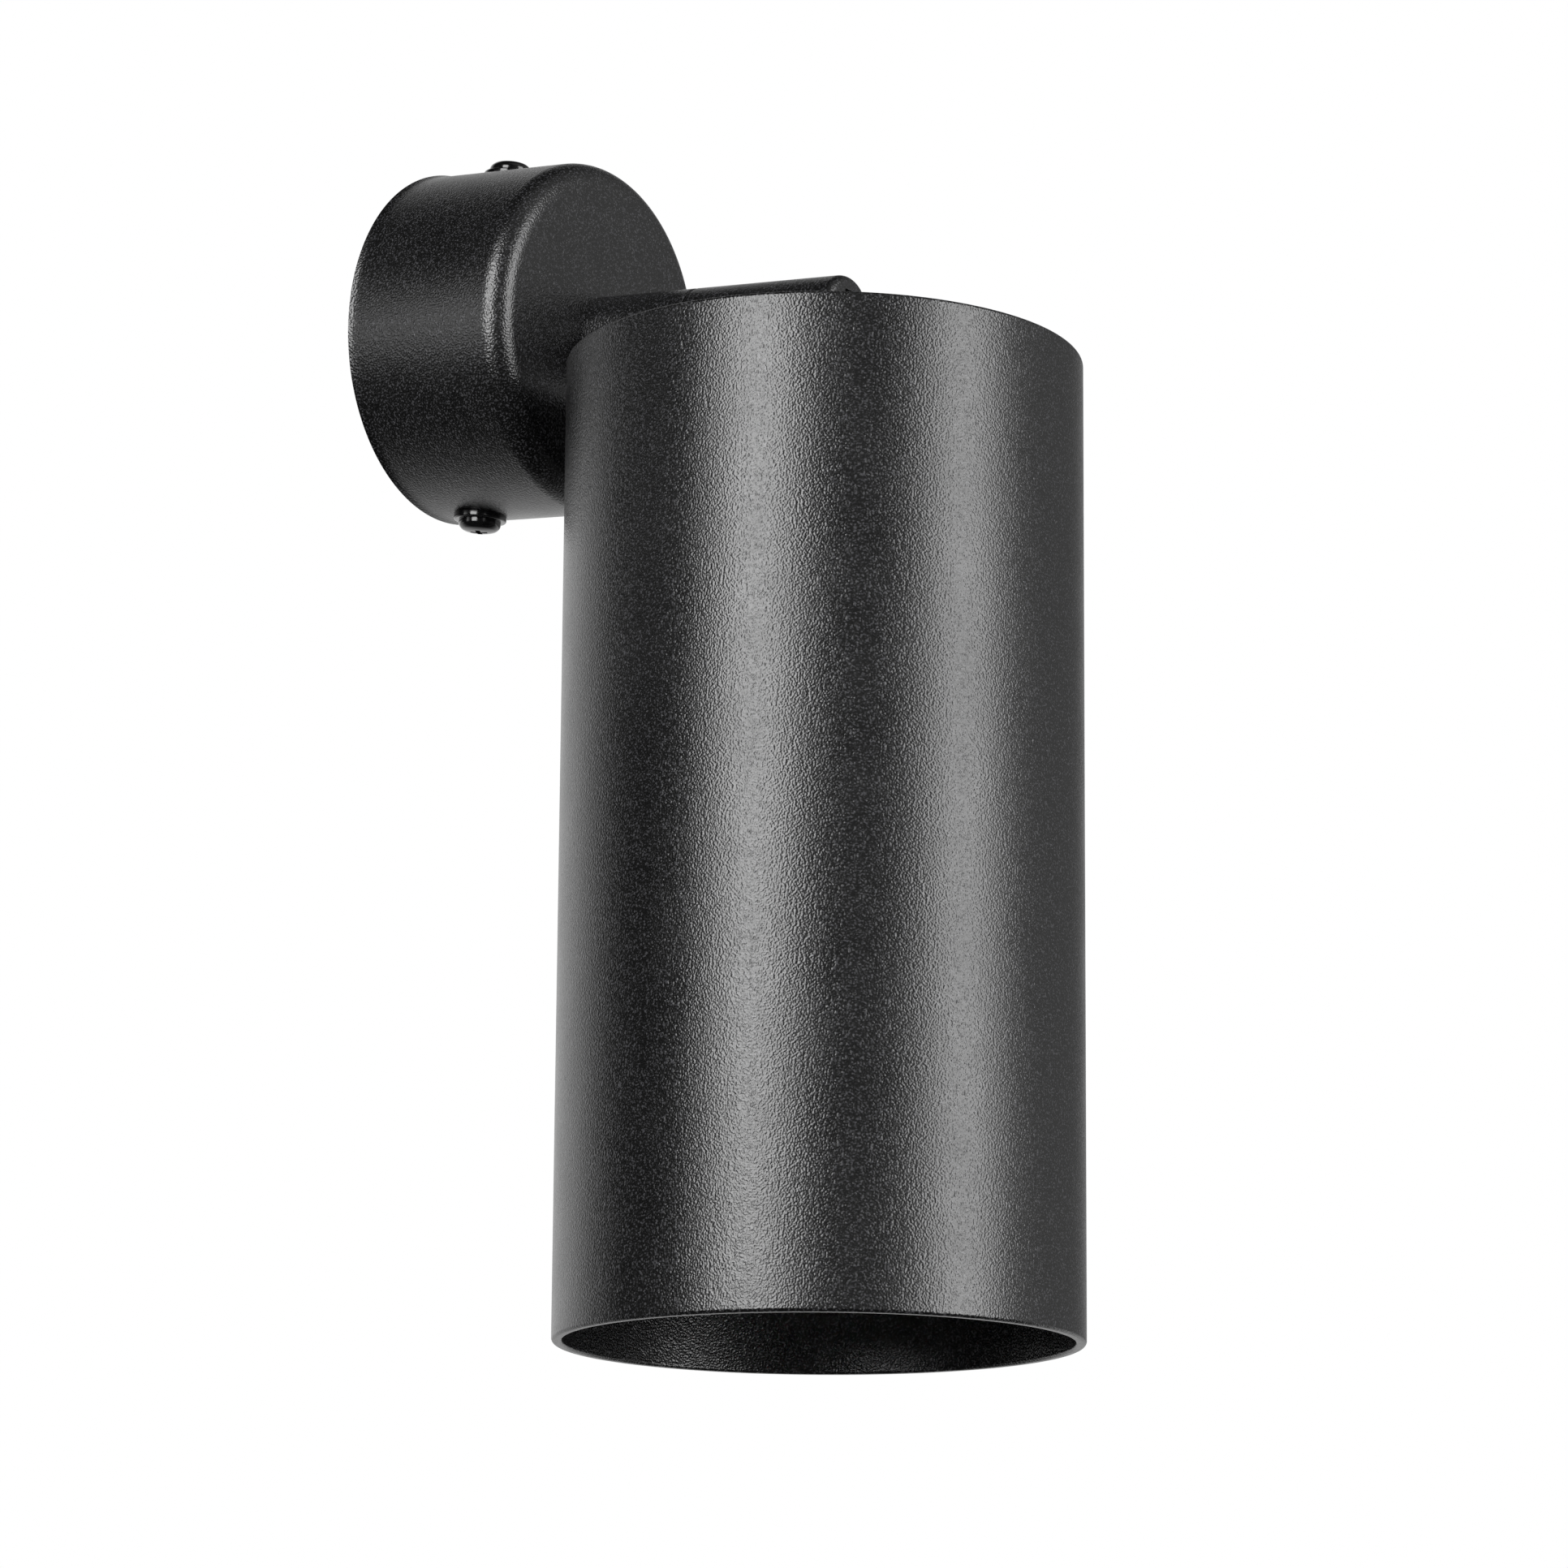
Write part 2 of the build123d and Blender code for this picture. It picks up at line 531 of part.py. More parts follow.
def swivel_grub_screw():
    """Headless screw whose tip runs in the spigot's groove and keeps it in."""
    tip = SPIGOT_D / 2 - GROOVE_DEEP + RUN
    shoulder = SPIGOT_D / 2 + RUN
    outer = ARM_R - GRUB_SINK
    screw = along_x(GRUB_TIP_D / 2, tip, outer, -GRUB_DEPTH)
    screw += along_x(GRUB_D / 2, shoulder, outer, -GRUB_DEPTH)
    key = hexagon_bar(GRUB_KEY_AF, 2 * GRUB_KEY_DEEP)
    return screw - Pos(outer, -GRUB_DEPTH, 0) * Rot(0, 90, 0) * key


# ---- arm, turning half --------------------------------------------------------------------
def arm_head():
    """Turning half of the arm, with a grooved spigot and a slot for the lamp's tongue."""
    start = SEAM_DEPTH + SEAM
    bar = along_y(ARM_R, start, ARM_END_DEPTH)
    rounds = bar.edges().filter_by(GeomType.CIRCLE).sort_by(Axis.Y)
    bar = fillet(rounds[0], ARM_END_FILLET)
    bar = fillet(bar.edges().filter_by(GeomType.CIRCLE).sort_by(Axis.Y)[-1], SEAM_EDGE)
    spigot = along_y(SPIGOT_D / 2, SPIGOT_END, start + SEAM)
    groove = along_y(SPIGOT_D, GRUB_DEPTH - GROOVE_W / 2, GRUB_DEPTH + GROOVE_W / 2)
    groove -= along_y(SPIGOT_D / 2 - GROOVE_DEEP, SPIGOT_END, start)
    land_half = SPIGOT_D * sin(radians(GROOVE_STOP / 2)) / 2
    groove -= block((-2 * SPIGOT_D, 0), (-start, -SPIGOT_END), (-land_half, land_half))
    bar += spigot - groove
    bar -= along_y(WIRE_BORE / 2, SPIGOT_END - OVERCUT, KNUCKLE_SLOT_START + OVERCUT)
    half = KNUCKLE_SLOT_W / 2
    out, under = -ARM_END_DEPTH - OVERCUT, -ARM_R - OVERCUT
    bar -= block((-half, half), (out, -KNUCKLE_SLOT_START), (under, KNUCKLE_SLOT_TOP))
    bar -= along_x(PIVOT_D / 2 + RUN, -ARM_D, ARM_D, -PIVOT_DEPTH)
    floor = ARM_R - KNUCKLE_SINK
    bar -= along_x(HEAD_SINK_D / 2, -ARM_D, -floor, -PIVOT_DEPTH)
    return bar - along_x(NUT_SINK_D / 2, floor, ARM_D, -PIVOT_DEPTH)


def pivot_screw():
    """Cross screw that the lamp tilts on."""
    floor = ARM_R - KNUCKLE_SINK
    head = Rot(0, -90, 0) * pan_head(PIVOT_HEAD_D, PIVOT_HEAD_H)
    recess = Rot(0, -90, 0) * cross_recess(CROSS_LENGTH * 0.7, CROSS_WIDTH * 0.8, CROSS_DEEP * 0.8)
    screw = Pos(-floor - RUN, 0, 0) * head
    screw += along_x(PIVOT_D / 2, -floor - 2 * RUN, floor + PIVOT_NUT_T)
    screw -= Pos(-floor - RUN - PIVOT_HEAD_H, 0, 0) * recess
    return Pos(0, -PIVOT_DEPTH, 0) * screw


def pivot_nut():
    """Hexagon nut sunk in the arm's other side."""
    middle = ARM_R - KNUCKLE_SINK + RUN + PIVOT_NUT_T / 2
    nut = hexagon_bar(PIVOT_NUT_AF, PIVOT_NUT_T) - Cylinder(PIVOT_D / 2 + RUN, PIVOT_NUT_T)
    return Pos(middle, -PIVOT_DEPTH, 0) * Rot(0, 90, 0) * nut


def tilt_washers():
    """Friction washers on both faces of the lamp's tongue."""
    middle = (KNUCKLE_SLOT_W / 2 + TONGUE_T / 2) / 2
    ring = Rot(0, 90, 0) * washer(TILT_WASHER_D, PIVOT_D + 2 * RUN, TILT_WASHER_T)
    return [Pos(side * middle, -PIVOT_DEPTH, 0) * ring for side in (-1, 1)]


# ---- lamp, built upright about the pivot ---------------------------------------------------
def foot_screw_places():
    """x of the two screws through cap and tongue."""
    return [-FOOT_SCREW_SPREAD / 2, FOOT_SCREW_SPREAD / 2]


def tilt_tongue():
    """Blade that turns in the arm's slot, on a flat foot that stands on the cap."""
    half = TONGUE_W / 2
    foot_top = CAP_TOP + FLANGE_T
    blade = along_x(half, -TONGUE_T / 2, TONGUE_T / 2)
    blade += block((-TONGUE_T / 2, TONGUE_T / 2), (-half, half), (foot_top, 0))
    foot = block(
        (-FLANGE_LENGTH / 2, FLANGE_LENGTH / 2), (-FLANGE_W / 2, FLANGE_W / 2), (CAP_TOP, foot_top)
    )
    foot = fillet(foot.edges().filter_by(Axis.Z), FLANGE_CORNER)
    tongue = blade + foot
    roots = tongue.edges().filter_by(Axis.Y).filter_by_position(Axis.Z, foot_top - 0.01, foot_top + 0.01)
    inner = [edge for edge in roots if abs(edge.center().X) < TONGUE_T]
    tongue = fillet(inner, FLANGE_FILLET)
    tongue -= along_x(PIVOT_D / 2 + RUN, -TONGUE_T, TONGUE_T)
    for x in foot_screw_places():
        tongue -= along_z(FOOT_SCREW_D / 2 + RUN, CAP_TOP - OVERCUT, foot_top + OVERCUT, x)
    return tongue


def top_cap():
    """Round lid pressed into the tube a little below its top rim."""
    radius = TUBE_R - TUBE_WALL - RUN
    lid = along_z(radius, CAP_TOP - CAP_SKIRT, CAP_TOP)
    lid = fillet(lid.edges().filter_by(GeomType.CIRCLE).sort_by(Axis.Z)[-1], CAP_EDGE)
    lid -= along_z(radius - CAP_SKIRT_T, CAP_TOP - CAP_SKIRT - OVERCUT, CAP_UNDER)
    through = (CAP_UNDER - OVERCUT, CAP_TOP + OVERCUT)
    for x in foot_screw_places():
        lid -= along_z(FOOT_SCREW_D / 2 + THROUGH, *through, x)
    return lid - along_z(CAP_GROMMET_HOLE / 2, *through, y=CAP_GROMMET_Y)


def cap_grommet():
    """Rubber ring where the lead goes through the cap."""
    neck = CAP_GROMMET_HOLE / 2 - RUN
    top, low = CAP_TOP + CAP_GROMMET_LIP, CAP_UNDER - CAP_GROMMET_LIP
    ring = along_z(neck, low, top)
    lip = neck + CAP_GROMMET_LIP_OUT
    ring += along_z(lip, CAP_TOP, top) + along_z(lip, low, CAP_UNDER)
    bore = along_z(LEAD_D / 2 + RUN, low - OVERCUT, top + OVERCUT)
    return Pos(0, CAP_GROMMET_Y, 0) * (ring - bore)


def lamp_tube():
    """Long aluminium tube, open below, with slightly rounded rim edges."""
    top, low = -RIM_DROP, -RIM_DROP - TUBE_LENGTH
    inside = along_z(TUBE_R - TUBE_WALL, low - OVERCUT, top + OVERCUT)
    tube = along_z(TUBE_R, low, top) - inside
    outer = [edge for edge in tube.edges().filter_by(GeomType.CIRCLE) if edge.radius > TUBE_R - RUN]
    return fillet(outer, TUBE_EDGE)


def foot_screws():
    """Two screws from below through bracket and cap into the tongue's foot."""
    seat = CAP_UNDER - BRACKET_T - RUN
    head = Rot(180, 0, 0) * pan_head(FOOT_HEAD_D, FOOT_HEAD_H)
    recess = Rot(180, 0, 0) * cross_recess(CROSS_LENGTH * 0.7, CROSS_WIDTH * 0.8, CROSS_DEEP * 0.7)
    screw = head + along_z(FOOT_SCREW_D / 2, -RUN, BRACKET_T + CAP_T + FLANGE_T)
    screw -= Pos(0, 0, -FOOT_HEAD_H) * recess
    return [Pos(x, 0, seat) * screw for x in foot_screw_places()]


def holder_bracket():
    """Bent steel strip that hangs the lampholder under the cap."""
    left, right = -BRACKET_LENGTH / 2, BRACKET_LENGTH / 2
    half = BRACKET_W / 2
    strip = block((left, right), (-half, half), (BRACKET_WEB_UNDER, CAP_UNDER))
    strip = fillet(strip.edges().filter_by(Axis.Y).group_by(Axis.X)[-1], BRACKET_BEND)
    inside = block(
        (left - OVERCUT, right - BRACKET_T),
        (-half - OVERCUT, half + OVERCUT),
        (BRACKET_WEB_UNDER + BRACKET_T, CAP_UNDER - BRACKET_T),
    )
    inside = fillet(inside.edges().filter_by(Axis.Y).group_by(Axis.X)[-1], BRACKET_BEND - BRACKET_T)
    strip -= inside
    for x in foot_screw_places():
        low, high = CAP_UNDER - 2 * BRACKET_T, CAP_UNDER + OVERCUT
        strip -= along_z(FOOT_SCREW_D / 2 + THROUGH, low, high, x)
    low, high = BRACKET_WEB_UNDER - OVERCUT, BRACKET_WEB_UNDER + 2 * BRACKET_T
    return strip - along_z(NIPPLE_D / 2 + RUN, low, high)


def holder_stud():
    """Hollow threaded stud between bracket and lampholder."""
    low = HOLDER_TOP - HOLDER_TOP_T
    stud = chamfer(along_z(NIPPLE_D / 2, low, low + STUD_LENGTH).edges(), STUD_CHAMFER)
    return stud - along_z(WIRE_BORE / 2, low - OVERCUT, low + STUD_LENGTH + OVERCUT)


def holder_nut():
    """Nut that draws the lampholder up against the bracket."""
    middle = BRACKET_WEB_UNDER + BRACKET_T + NIPPLE_NUT_T / 2
    nut = hexagon_bar(NIPPLE_NUT_AF, NIPPLE_NUT_T) & Cylinder(NIPPLE_NUT_AF * 0.56, NIPPLE_NUT_T)
    return Pos(0, 0, middle) * (nut - Cylinder(NIPPLE_D / 2 + RUN, NIPPLE_NUT_T))


def lampholder_body():
    """Moulded shell of the lampholder with a neck for the stud."""
    outer, neck = HOLDER_D / 2, HOLDER_NECK_D / 2
    shoulder_top = HOLDER_TOP - HOLDER_NECK
    shoulder_low = shoulder_top - HOLDER_SHOULDER
    outline = [
        Line((0, HOLDER_TOP), (neck, HOLDER_TOP)),
        Line((neck, HOLDER_TOP), (neck, shoulder_top)),
        TangentArc((neck, shoulder_top), (outer, shoulder_low), tangent=HOLDER_SLOPE),
        Line((outer, shoulder_low), (outer, HOLDER_MOUTH)),
        Line((outer, HOLDER_MOUTH), (0, HOLDER_MOUTH)),
        Line((0, HOLDER_MOUTH), (0, HOLDER_TOP)),
    ]
    body = revolve(Plane.XZ * make_face(Curve() + outline), Axis.Z)
    body = fillet(body.edges().filter_by(GeomType.CIRCLE).sort_by(Axis.Z)[0], HOLDER_EDGE)
    body -= along_z(outer - HOLDER_WALL, HOLDER_MOUTH - OVERCUT, shoulder_low)
    body -= along_z(neck - HOLDER_NECK_WALL, shoulder_low - OVERCUT, HOLDER_TOP - HOLDER_TOP_T)
    return body - along_z(NIPPLE_D / 2 + RUN, HOLDER_MOUTH, HOLDER_TOP + OVERCUT)


def lampholder_insert():
    """Ceramic disc inside the lampholder that carries the contacts."""
    radius = HOLDER_D / 2 - HOLDER_WALL - RUN
    disc = along_z(radius, INSERT_UNDER, INSERT_UNDER + INSERT_T)
    low, high = INSERT_UNDER + HOLDER_TERMINAL_FLOOR, INSERT_UNDER + INSERT_T + OVERCUT
    for side in (-1, 1):
        x = side * HOLDER_TERMINAL_SPREAD / 2
        disc -= along_z(HOLDER_TERMINAL_D / 2 + RUN, low, high, x)
    return disc


def holder_terminals():
    """Two terminal screws on top of the ceramic disc."""
    seat = INSERT_UNDER + INSERT_T + RUN
    top = seat + HOLDER_TERMINAL_HEAD_H
    low = INSERT_UNDER + HOLDER_TERMINAL_FLOOR + THROUGH
    reach, half = HOLDER_TERMINAL_HEAD_D, HOLDER_TERMINAL_SLOT / 2
    screws = []
    for side in (-1, 1):
        screw = along_z(HOLDER_TERMINAL_D / 2, low, seat + RUN)
        screw += along_z(HOLDER_TERMINAL_HEAD_D / 2, seat, top)
        screw -= block((-reach, reach), (-half, half), (top - SCREW_SLOT_DEEP, top + OVERCUT))
        turn = Rot(0, 0, HOLDER_TERMINAL_TURN)
        screws.append(Pos(side * HOLDER_TERMINAL_SPREAD / 2, 0, 0) * turn * screw)
    return screws


def lampholder_shell():
    """Brass screw shell that takes the lamp's cap."""
    inner = LAMP_CAP_D / 2 + RUN
    top = INSERT_UNDER
    shell = along_z(inner + SHELL_T, top - SHELL_LENGTH, top)
    shell -= along_z(inner, top - SHELL_LENGTH - OVERCUT, top - SHELL_T)
    return shell - along_z(CONTACT_W, top - 2 * SHELL_T, top + OVERCUT)


def centre_contact():
    """Sprung brass strip that meets the tip of the lamp."""
    half = CONTACT_W / 2
    low = INSERT_UNDER - CONTACT_DROP
    plate = block((-half, half), (-half, half), (INSERT_UNDER - CONTACT_T, INSERT_UNDER))
    leg = block((half - CONTACT_T, half), (-half, half), (low, INSERT_UNDER))
    pad = block((-half, half), (-half, half), (low, low + CONTACT_T))
    return plate + leg + pad


# ---- lamp ---------------------------------------------------------------------------------
def lamp_cap():
    """Metal screw cap of the lamp."""
    top = LAMP_TIP - LAMP_TIP_H - LAMP_GLASS_H
    radius = LAMP_CAP_D / 2
    cap = along_z(radius, LAMP_BODY_TOP, top)
    cap = chamfer(cap.edges().filter_by(GeomType.CIRCLE).sort_by(Axis.Z)[-1], LAMP_CAP_BEVEL)
    low, high = LAMP_BODY_TOP - OVERCUT, top - LAMP_CAP_WALL - LAMP_CAP_BEVEL
    return cap - along_z(radius - LAMP_CAP_WALL, low, high)


def lamp_insulator():
    """Dark glass ring between the screw cap and the tip."""
    low = LAMP_TIP - LAMP_TIP_H - LAMP_GLASS_H
    high = LAMP_TIP - LAMP_TIP_H
    foot_r, top_r = LAMP_CAP_D / 2 - LAMP_GLASS_BACK, LAMP_TIP_D / 2 + LAMP_GLASS_LAND
    return Pos(0, 0, (low + high) / 2) * Cone(foot_r, top_r, high - low)


def lamp_tip():
    """Contact button at the end of the lamp's cap."""
    tip = along_z(LAMP_TIP_D / 2, LAMP_TIP - LAMP_TIP_H, LAMP_TIP)
    return fillet(tip.edges().filter_by(GeomType.CIRCLE).sort_by(Axis.Z)[-1], LAMP_TIP_H * 0.6)


def lamp_body():
    """White plastic body of the lamp, from the screw cap out to the diffuser."""
    neck = LAMP_CAP_D / 2 + LAMP_NECK_WALL
    low = LAMP_BODY_TOP - LAMP_SHOULDER
    wide = LAMP_D / 2 - LAMP_STEP
    narrow = wide - LAMP_SKIN - LAMP_BODY_EDGE
    bend, under = LAMP_BODY_TOP - LAMP_BODY_NECK, LAMP_BODY_TOP - LAMP_BODY_TOP_T
    outline = [
        Line((0, LAMP_BODY_TOP), (neck, LAMP_BODY_TOP)),
        Line((neck, LAMP_BODY_TOP), (neck, bend)),
        TangentArc((neck, bend), (wide, low), tangent=LAMP_FLARE),
        Line((wide, low), (narrow, low)),
        Line((narrow, low), (neck - LAMP_BODY_WALL, under)),
        Line((neck - LAMP_BODY_WALL, under), (0, under)),
        Line((0, under), (0, LAMP_BODY_TOP)),
    ]
    return revolve(Plane.XZ * make_face(Curve() + outline), Axis.Z)


def lamp_diffuser():
    """Opal dome of the lamp."""
    top = LAMP_BODY_TOP - LAMP_SHOULDER - DIFFUSER_GAP
    domes = []
    for skin in (0.0, LAMP_SKIN):
        radius = LAMP_D / 2 - skin
        middle = LAMP_BOTTOM + LAMP_D / 2
        rim = LAMP_D / 2 - LAMP_STEP - skin
        outline = [
            Line((0, top), (rim, top)),
            TangentArc((radius, middle), (rim, top), tangent=(0, 1)),
            ThreePointArc(
                (radius, middle),
                (radius * cos(radians(45)), middle - radius * sin(radians(45))),
                (0, middle - radius),
            ),
            Line((0, middle - radius), (0, top)),
        ]
        domes.append(revolve(Plane.XZ * make_face(Curve() + outline), Axis.Z))
    return domes[0] - domes[1]


# ---- leads --------------------------------------------------------------------------------
def core_exit(turn):
    """Place of one core on the end of the canopy's lead, at an angle about the arm's axis."""
    x = CORE_CIRCLE * cos(radians(turn))
    return x, -CANOPY_LEAD_START, CORE_CIRCLE * sin(radians(turn))


def core(points):
    """One insulated core along runs joined by arcs."""
    return tube_along(FilletPolyline(*points, radius=CORE_BEND), CORE_D / 2)


def line_core(pole, turn):
    """Core from a clamp of the terminal block to the lead in the hollow stud."""
    x, y, z = core_exit(turn)
    height = pole_heights()[pole]
    depth = PLATE_T + CLAMP_H
    points = [
        (CLAMP_CORE_X, -depth, height),
        (BLOCK_X - CORE_STRAIGHT, -depth, height),
        (x, y + CORE_STRAIGHT, z),
        (x, y, z),
    ]
    return core(points)


def from_lug(reach, depth):
    """Point in line with the lug's barrel, at a reach from the earth screw."""
    turn = radians(LUG_TURN)
    return EARTH_X + reach * cos(turn), -depth, reach * sin(turn)


def earth_core():
    """Core from the earth lug to the lead in the hollow stud."""
    x, y, z = core_exit(EARTH_TURN)
    depth = PLATE_T + CORE_D / 2 + LUG_BARREL_WALL
    points = [
        from_lug(LUG_R + EARTH_CORE_START, depth),
        from_lug(LUG_R + EARTH_CORE_REACH, depth),
        (x, y + CORE_STRAIGHT, z),
        (x, y, z),
    ]
    return core(points)


def base_lead():
    """Round lead from inside the canopy to the swivel."""
    return along_y(LEAD_D / 2, CANOPY_LEAD_START, SPIGOT_END - SWIVEL_WASHER_GAP / 2)


def arm_lead():
    """The same lead inside the turning half of the arm, up to the slot."""
    return along_y(LEAD_D / 2, SPIGOT_END + SWIVEL_WASHER_GAP / 2, KNUCKLE_SLOT_START)


def head_lead():
    """The lead in the lamp, through the cap's grommet and into the hollow stud."""
    start = CAP_TOP + CAP_GROMMET_LIP
    turn_height = CAP_UNDER - CAP_GROMMET_LIP - LEAD_BEND - THROUGH
    points = [
        (0, CAP_GROMMET_Y, start),
        (0, CAP_GROMMET_Y, turn_height),
        (0, 0, turn_height - LEAD_FALL),
        (0, 0, HOLDER_TOP - HOLDER_TOP_T - LEAD_OVERLAP),
    ]
    return tube_along(FilletPolyline(*points, radius=LEAD_BEND), LEAD_D / 2)


# ---- write every piece --------------------------------------------------------------------
WALL_SIDE = {
    "wall_plate": wall_plate,
    "cable_grommet": cable_grommet,
    "canopy_cover": canopy_cover,
    "canopy_screws": canopy_screws,
    "terminal_block": terminal_block,
    "terminal_clamps": terminal_clamps,
    "clamp_screws": clamp_screws,
    "block_screw": block_screw,
    "earth_lug": earth_lug,
    "earth_screw": earth_screw,
    "arm_nipple": arm_nipple,
    "nipple_washer": nipple_washer,
    "nipple_nut": nipple_nut,
    "arm_base": arm_base,
    "swivel_washer": swivel_washer,
    "swivel_grub_screw": swivel_grub_screw,
    "live_core": lambda: line_core(1, LIVE_TURN),
    "neutral_core": lambda: line_core(0, NEUTRAL_TURN),
    "earth_core": earth_core,
    "base_lead": base_lead,
}
ARM_SIDE = {
    "arm_head": arm_head,
    "pivot_screw": pivot_screw,
    "pivot_nut": pivot_nut,
    "tilt_washers": tilt_washers,
    "arm_lead": arm_lead,
}
LAMP_SIDE = {
    "tilt_tongue": tilt_tongue,
    "top_cap": top_cap,
    "cap_grommet": cap_grommet,
    "lamp_tube": lamp_tube,
    "foot_screws": foot_screws,
    "holder_bracket": holder_bracket,
    "holder_stud": holder_stud,
    "holder_nut": holder_nut,
    "lampholder_body": lampholder_body,
    "lampholder_insert": lampholder_insert,
    "holder_terminals": holder_terminals,
    "lampholder_shell": lampholder_shell,
    "centre_contact": centre_contact,
    "lamp_cap": lamp_cap,
    "lamp_insulator": lamp_insulator,
    "lamp_tip": lamp_tip,
    "lamp_body": lamp_body,
    "lamp_diffuser": lamp_diffuser,
    "head_lead": head_lead,
}


def write(pieces, place):
    """Write each piece, moved to its place on the object, to its own file."""
    for name, make in pieces.items():
        made = make()
        solids = made if isinstance(made, list) else [made]
        placed = [place * solid for piece in solids for solid in piece.solids()]
        shape = placed[0] if len(placed) == 1 else Compound(children=placed)
        export_step(shape, os.path.join("parts", name + ".step"))


os.makedirs("parts", exist_ok=True)
write(WALL_SIDE, Location())
write(ARM_SIDE, Location())
write(LAMP_SIDE, LAMP_FRAME)
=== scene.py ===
import json
from math import cos, pi, radians, sin

import bmesh
import bpy
from mathutils import Matrix, Vector


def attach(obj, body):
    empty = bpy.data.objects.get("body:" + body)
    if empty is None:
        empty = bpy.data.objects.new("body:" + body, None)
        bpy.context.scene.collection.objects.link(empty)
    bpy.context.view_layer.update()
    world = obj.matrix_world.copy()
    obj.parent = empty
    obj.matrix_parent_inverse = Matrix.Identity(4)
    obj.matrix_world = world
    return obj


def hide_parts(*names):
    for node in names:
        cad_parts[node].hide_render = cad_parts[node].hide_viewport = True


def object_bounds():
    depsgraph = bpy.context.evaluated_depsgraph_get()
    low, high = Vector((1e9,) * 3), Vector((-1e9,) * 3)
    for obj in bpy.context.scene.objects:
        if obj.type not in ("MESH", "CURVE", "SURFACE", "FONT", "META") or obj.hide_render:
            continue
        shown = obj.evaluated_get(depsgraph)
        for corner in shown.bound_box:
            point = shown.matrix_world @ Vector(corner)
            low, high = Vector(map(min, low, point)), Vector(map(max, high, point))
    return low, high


bl_info = {
    "name": "Tube wall light",
    "version": (1, 0, 0),
    "blender": (4, 5, 0),
    "location": "3D View > Sidebar > Wall light",
    "description": "Builds the visible pieces, finishes and studio of a tube wall light on its fixed frame",
    "category": "Object",
}

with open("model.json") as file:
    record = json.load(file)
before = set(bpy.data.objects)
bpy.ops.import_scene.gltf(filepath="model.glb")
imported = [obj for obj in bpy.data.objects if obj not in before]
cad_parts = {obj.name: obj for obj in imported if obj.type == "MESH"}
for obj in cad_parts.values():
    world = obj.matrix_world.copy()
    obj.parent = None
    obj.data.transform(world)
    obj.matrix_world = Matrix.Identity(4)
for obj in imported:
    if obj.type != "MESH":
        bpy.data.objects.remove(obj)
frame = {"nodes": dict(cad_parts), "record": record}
FRAME_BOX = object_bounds()
MM = 0.001


def linear(colour):
    """Turns an sRGB hex colour into the linear red, green and blue of a shader."""
    channels = [int(colour[i : i + 2], 16) / 255 for i in (1, 3, 5)]
    return [c / 12.92 if c <= 0.04045 else ((c + 0.055) / 1.055) ** 2.4 for c in channels]


# ---- what a user would change ---------------------------------------------------------------
def length(name, millimetres, description):
    return bpy.props.FloatProperty(
        name=name, description=description, default=millimetres * MM, min=0.0, precision=5, unit="LENGTH"
    )


def colour(name, value, description):
    return bpy.props.FloatVectorProperty(
        name=name, description=description, default=linear(value), size=3, min=0.0, max=1.0, subtype="COLOR"
    )


class TubeSizes(bpy.types.PropertyGroup):
    outside: length("Tube diameter", 100, "Outside diameter of the long tube")
    wall: length("Tube wall", 2, "Thickness of the tube's wall")
    top: length("Top rim", 9.8, "Drop from the tilt pivot to the tube's top rim")
    long: length("Tube length", 190, "Length of the tube")
    edge: length("Rim rounding", 0.7, "Rounding of the rims' outer edges")
    lean: bpy.props.FloatProperty(
        name="Lean",
        description="How far the tube leans out from the wall at rest",
        default=radians(4.75),
        subtype="ANGLE",
        unit="ROTATION",
    )
    pivot: length("Pivot depth", 89.4, "Distance of the tilt pivot from the wall")
    cap_top: length("Cap recess", 12.8, "Drop from the tilt pivot to the top of the cap")
    cap_thick: length("Cap thickness", 2, "Thickness of the cap's lid")
    cap_skirt: length("Cap skirt", 8, "Height of the cap's skirt")


class CanopySizes(bpy.types.PropertyGroup):
    outside: length("Canopy diameter", 70, "Outside diameter of the cup on the wall")
    deep: length("Canopy depth", 37, "How far the cup stands out from the wall")
    wall: length("Canopy wall", 1.5, "Thickness of the cup's sheet")
    round: length("Front rounding", 5, "Rounding of the cup's front edge")
    flare: length("Rim flare", 0.4, "How far the rear rim turns out")
    screw_depth: length("Screw depth", 10, "Distance of the side screws from the wall")
    collar: length("Collar diameter", 10.6, "Diameter of the side screws' collar")
    head: length("Head diameter", 8.5, "Diameter of the side screws' domed head")
    head_high: length("Head height", 2.4, "Height of the domed head over its collar")


class ArmSizes(bpy.types.PropertyGroup):
    outside: length("Arm diameter", 16, "Diameter of the round arm")
    seam: length("Seam depth", 60, "Distance of the swivel's seam from the wall")
    gap: length("Seam gap", 0.3, "Gap between the two halves of the arm")
    end: length("Arm end depth", 95, "Distance of the arm's end face from the wall")
    end_round: length("End rounding", 1.8, "Rounding of the arm's end face")
    seam_round: length("Seam rounding", 0.4, "Rounding of the edges at the seam")
    slot_start: length("Slot start", 78, "Distance of the tongue's slot from the wall")
    slot_wide: length("Slot width", 4.2, "Width of the tongue's slot")
    slot_top: length("Slot roof", 5.0, "Height of the slot's roof over the arm's axis")


class LampSizes(bpy.types.PropertyGroup):
    holder: length("Holder diameter", 39, "Outside diameter of the lampholder")
    ribs: bpy.props.IntProperty(
        name="Grip grooves", description="Number of grooves round the lampholder", default=24, min=3
    )
    across: length("Lamp diameter", 60, "Largest diameter of the lamp")
    vents: bpy.props.IntProperty(
        name="Vent grooves", description="Number of grooves round the lamp's body", default=18, min=3
    )
    skin: length("Lamp skin", 1.3, "Thickness of the lamp's opal dome")


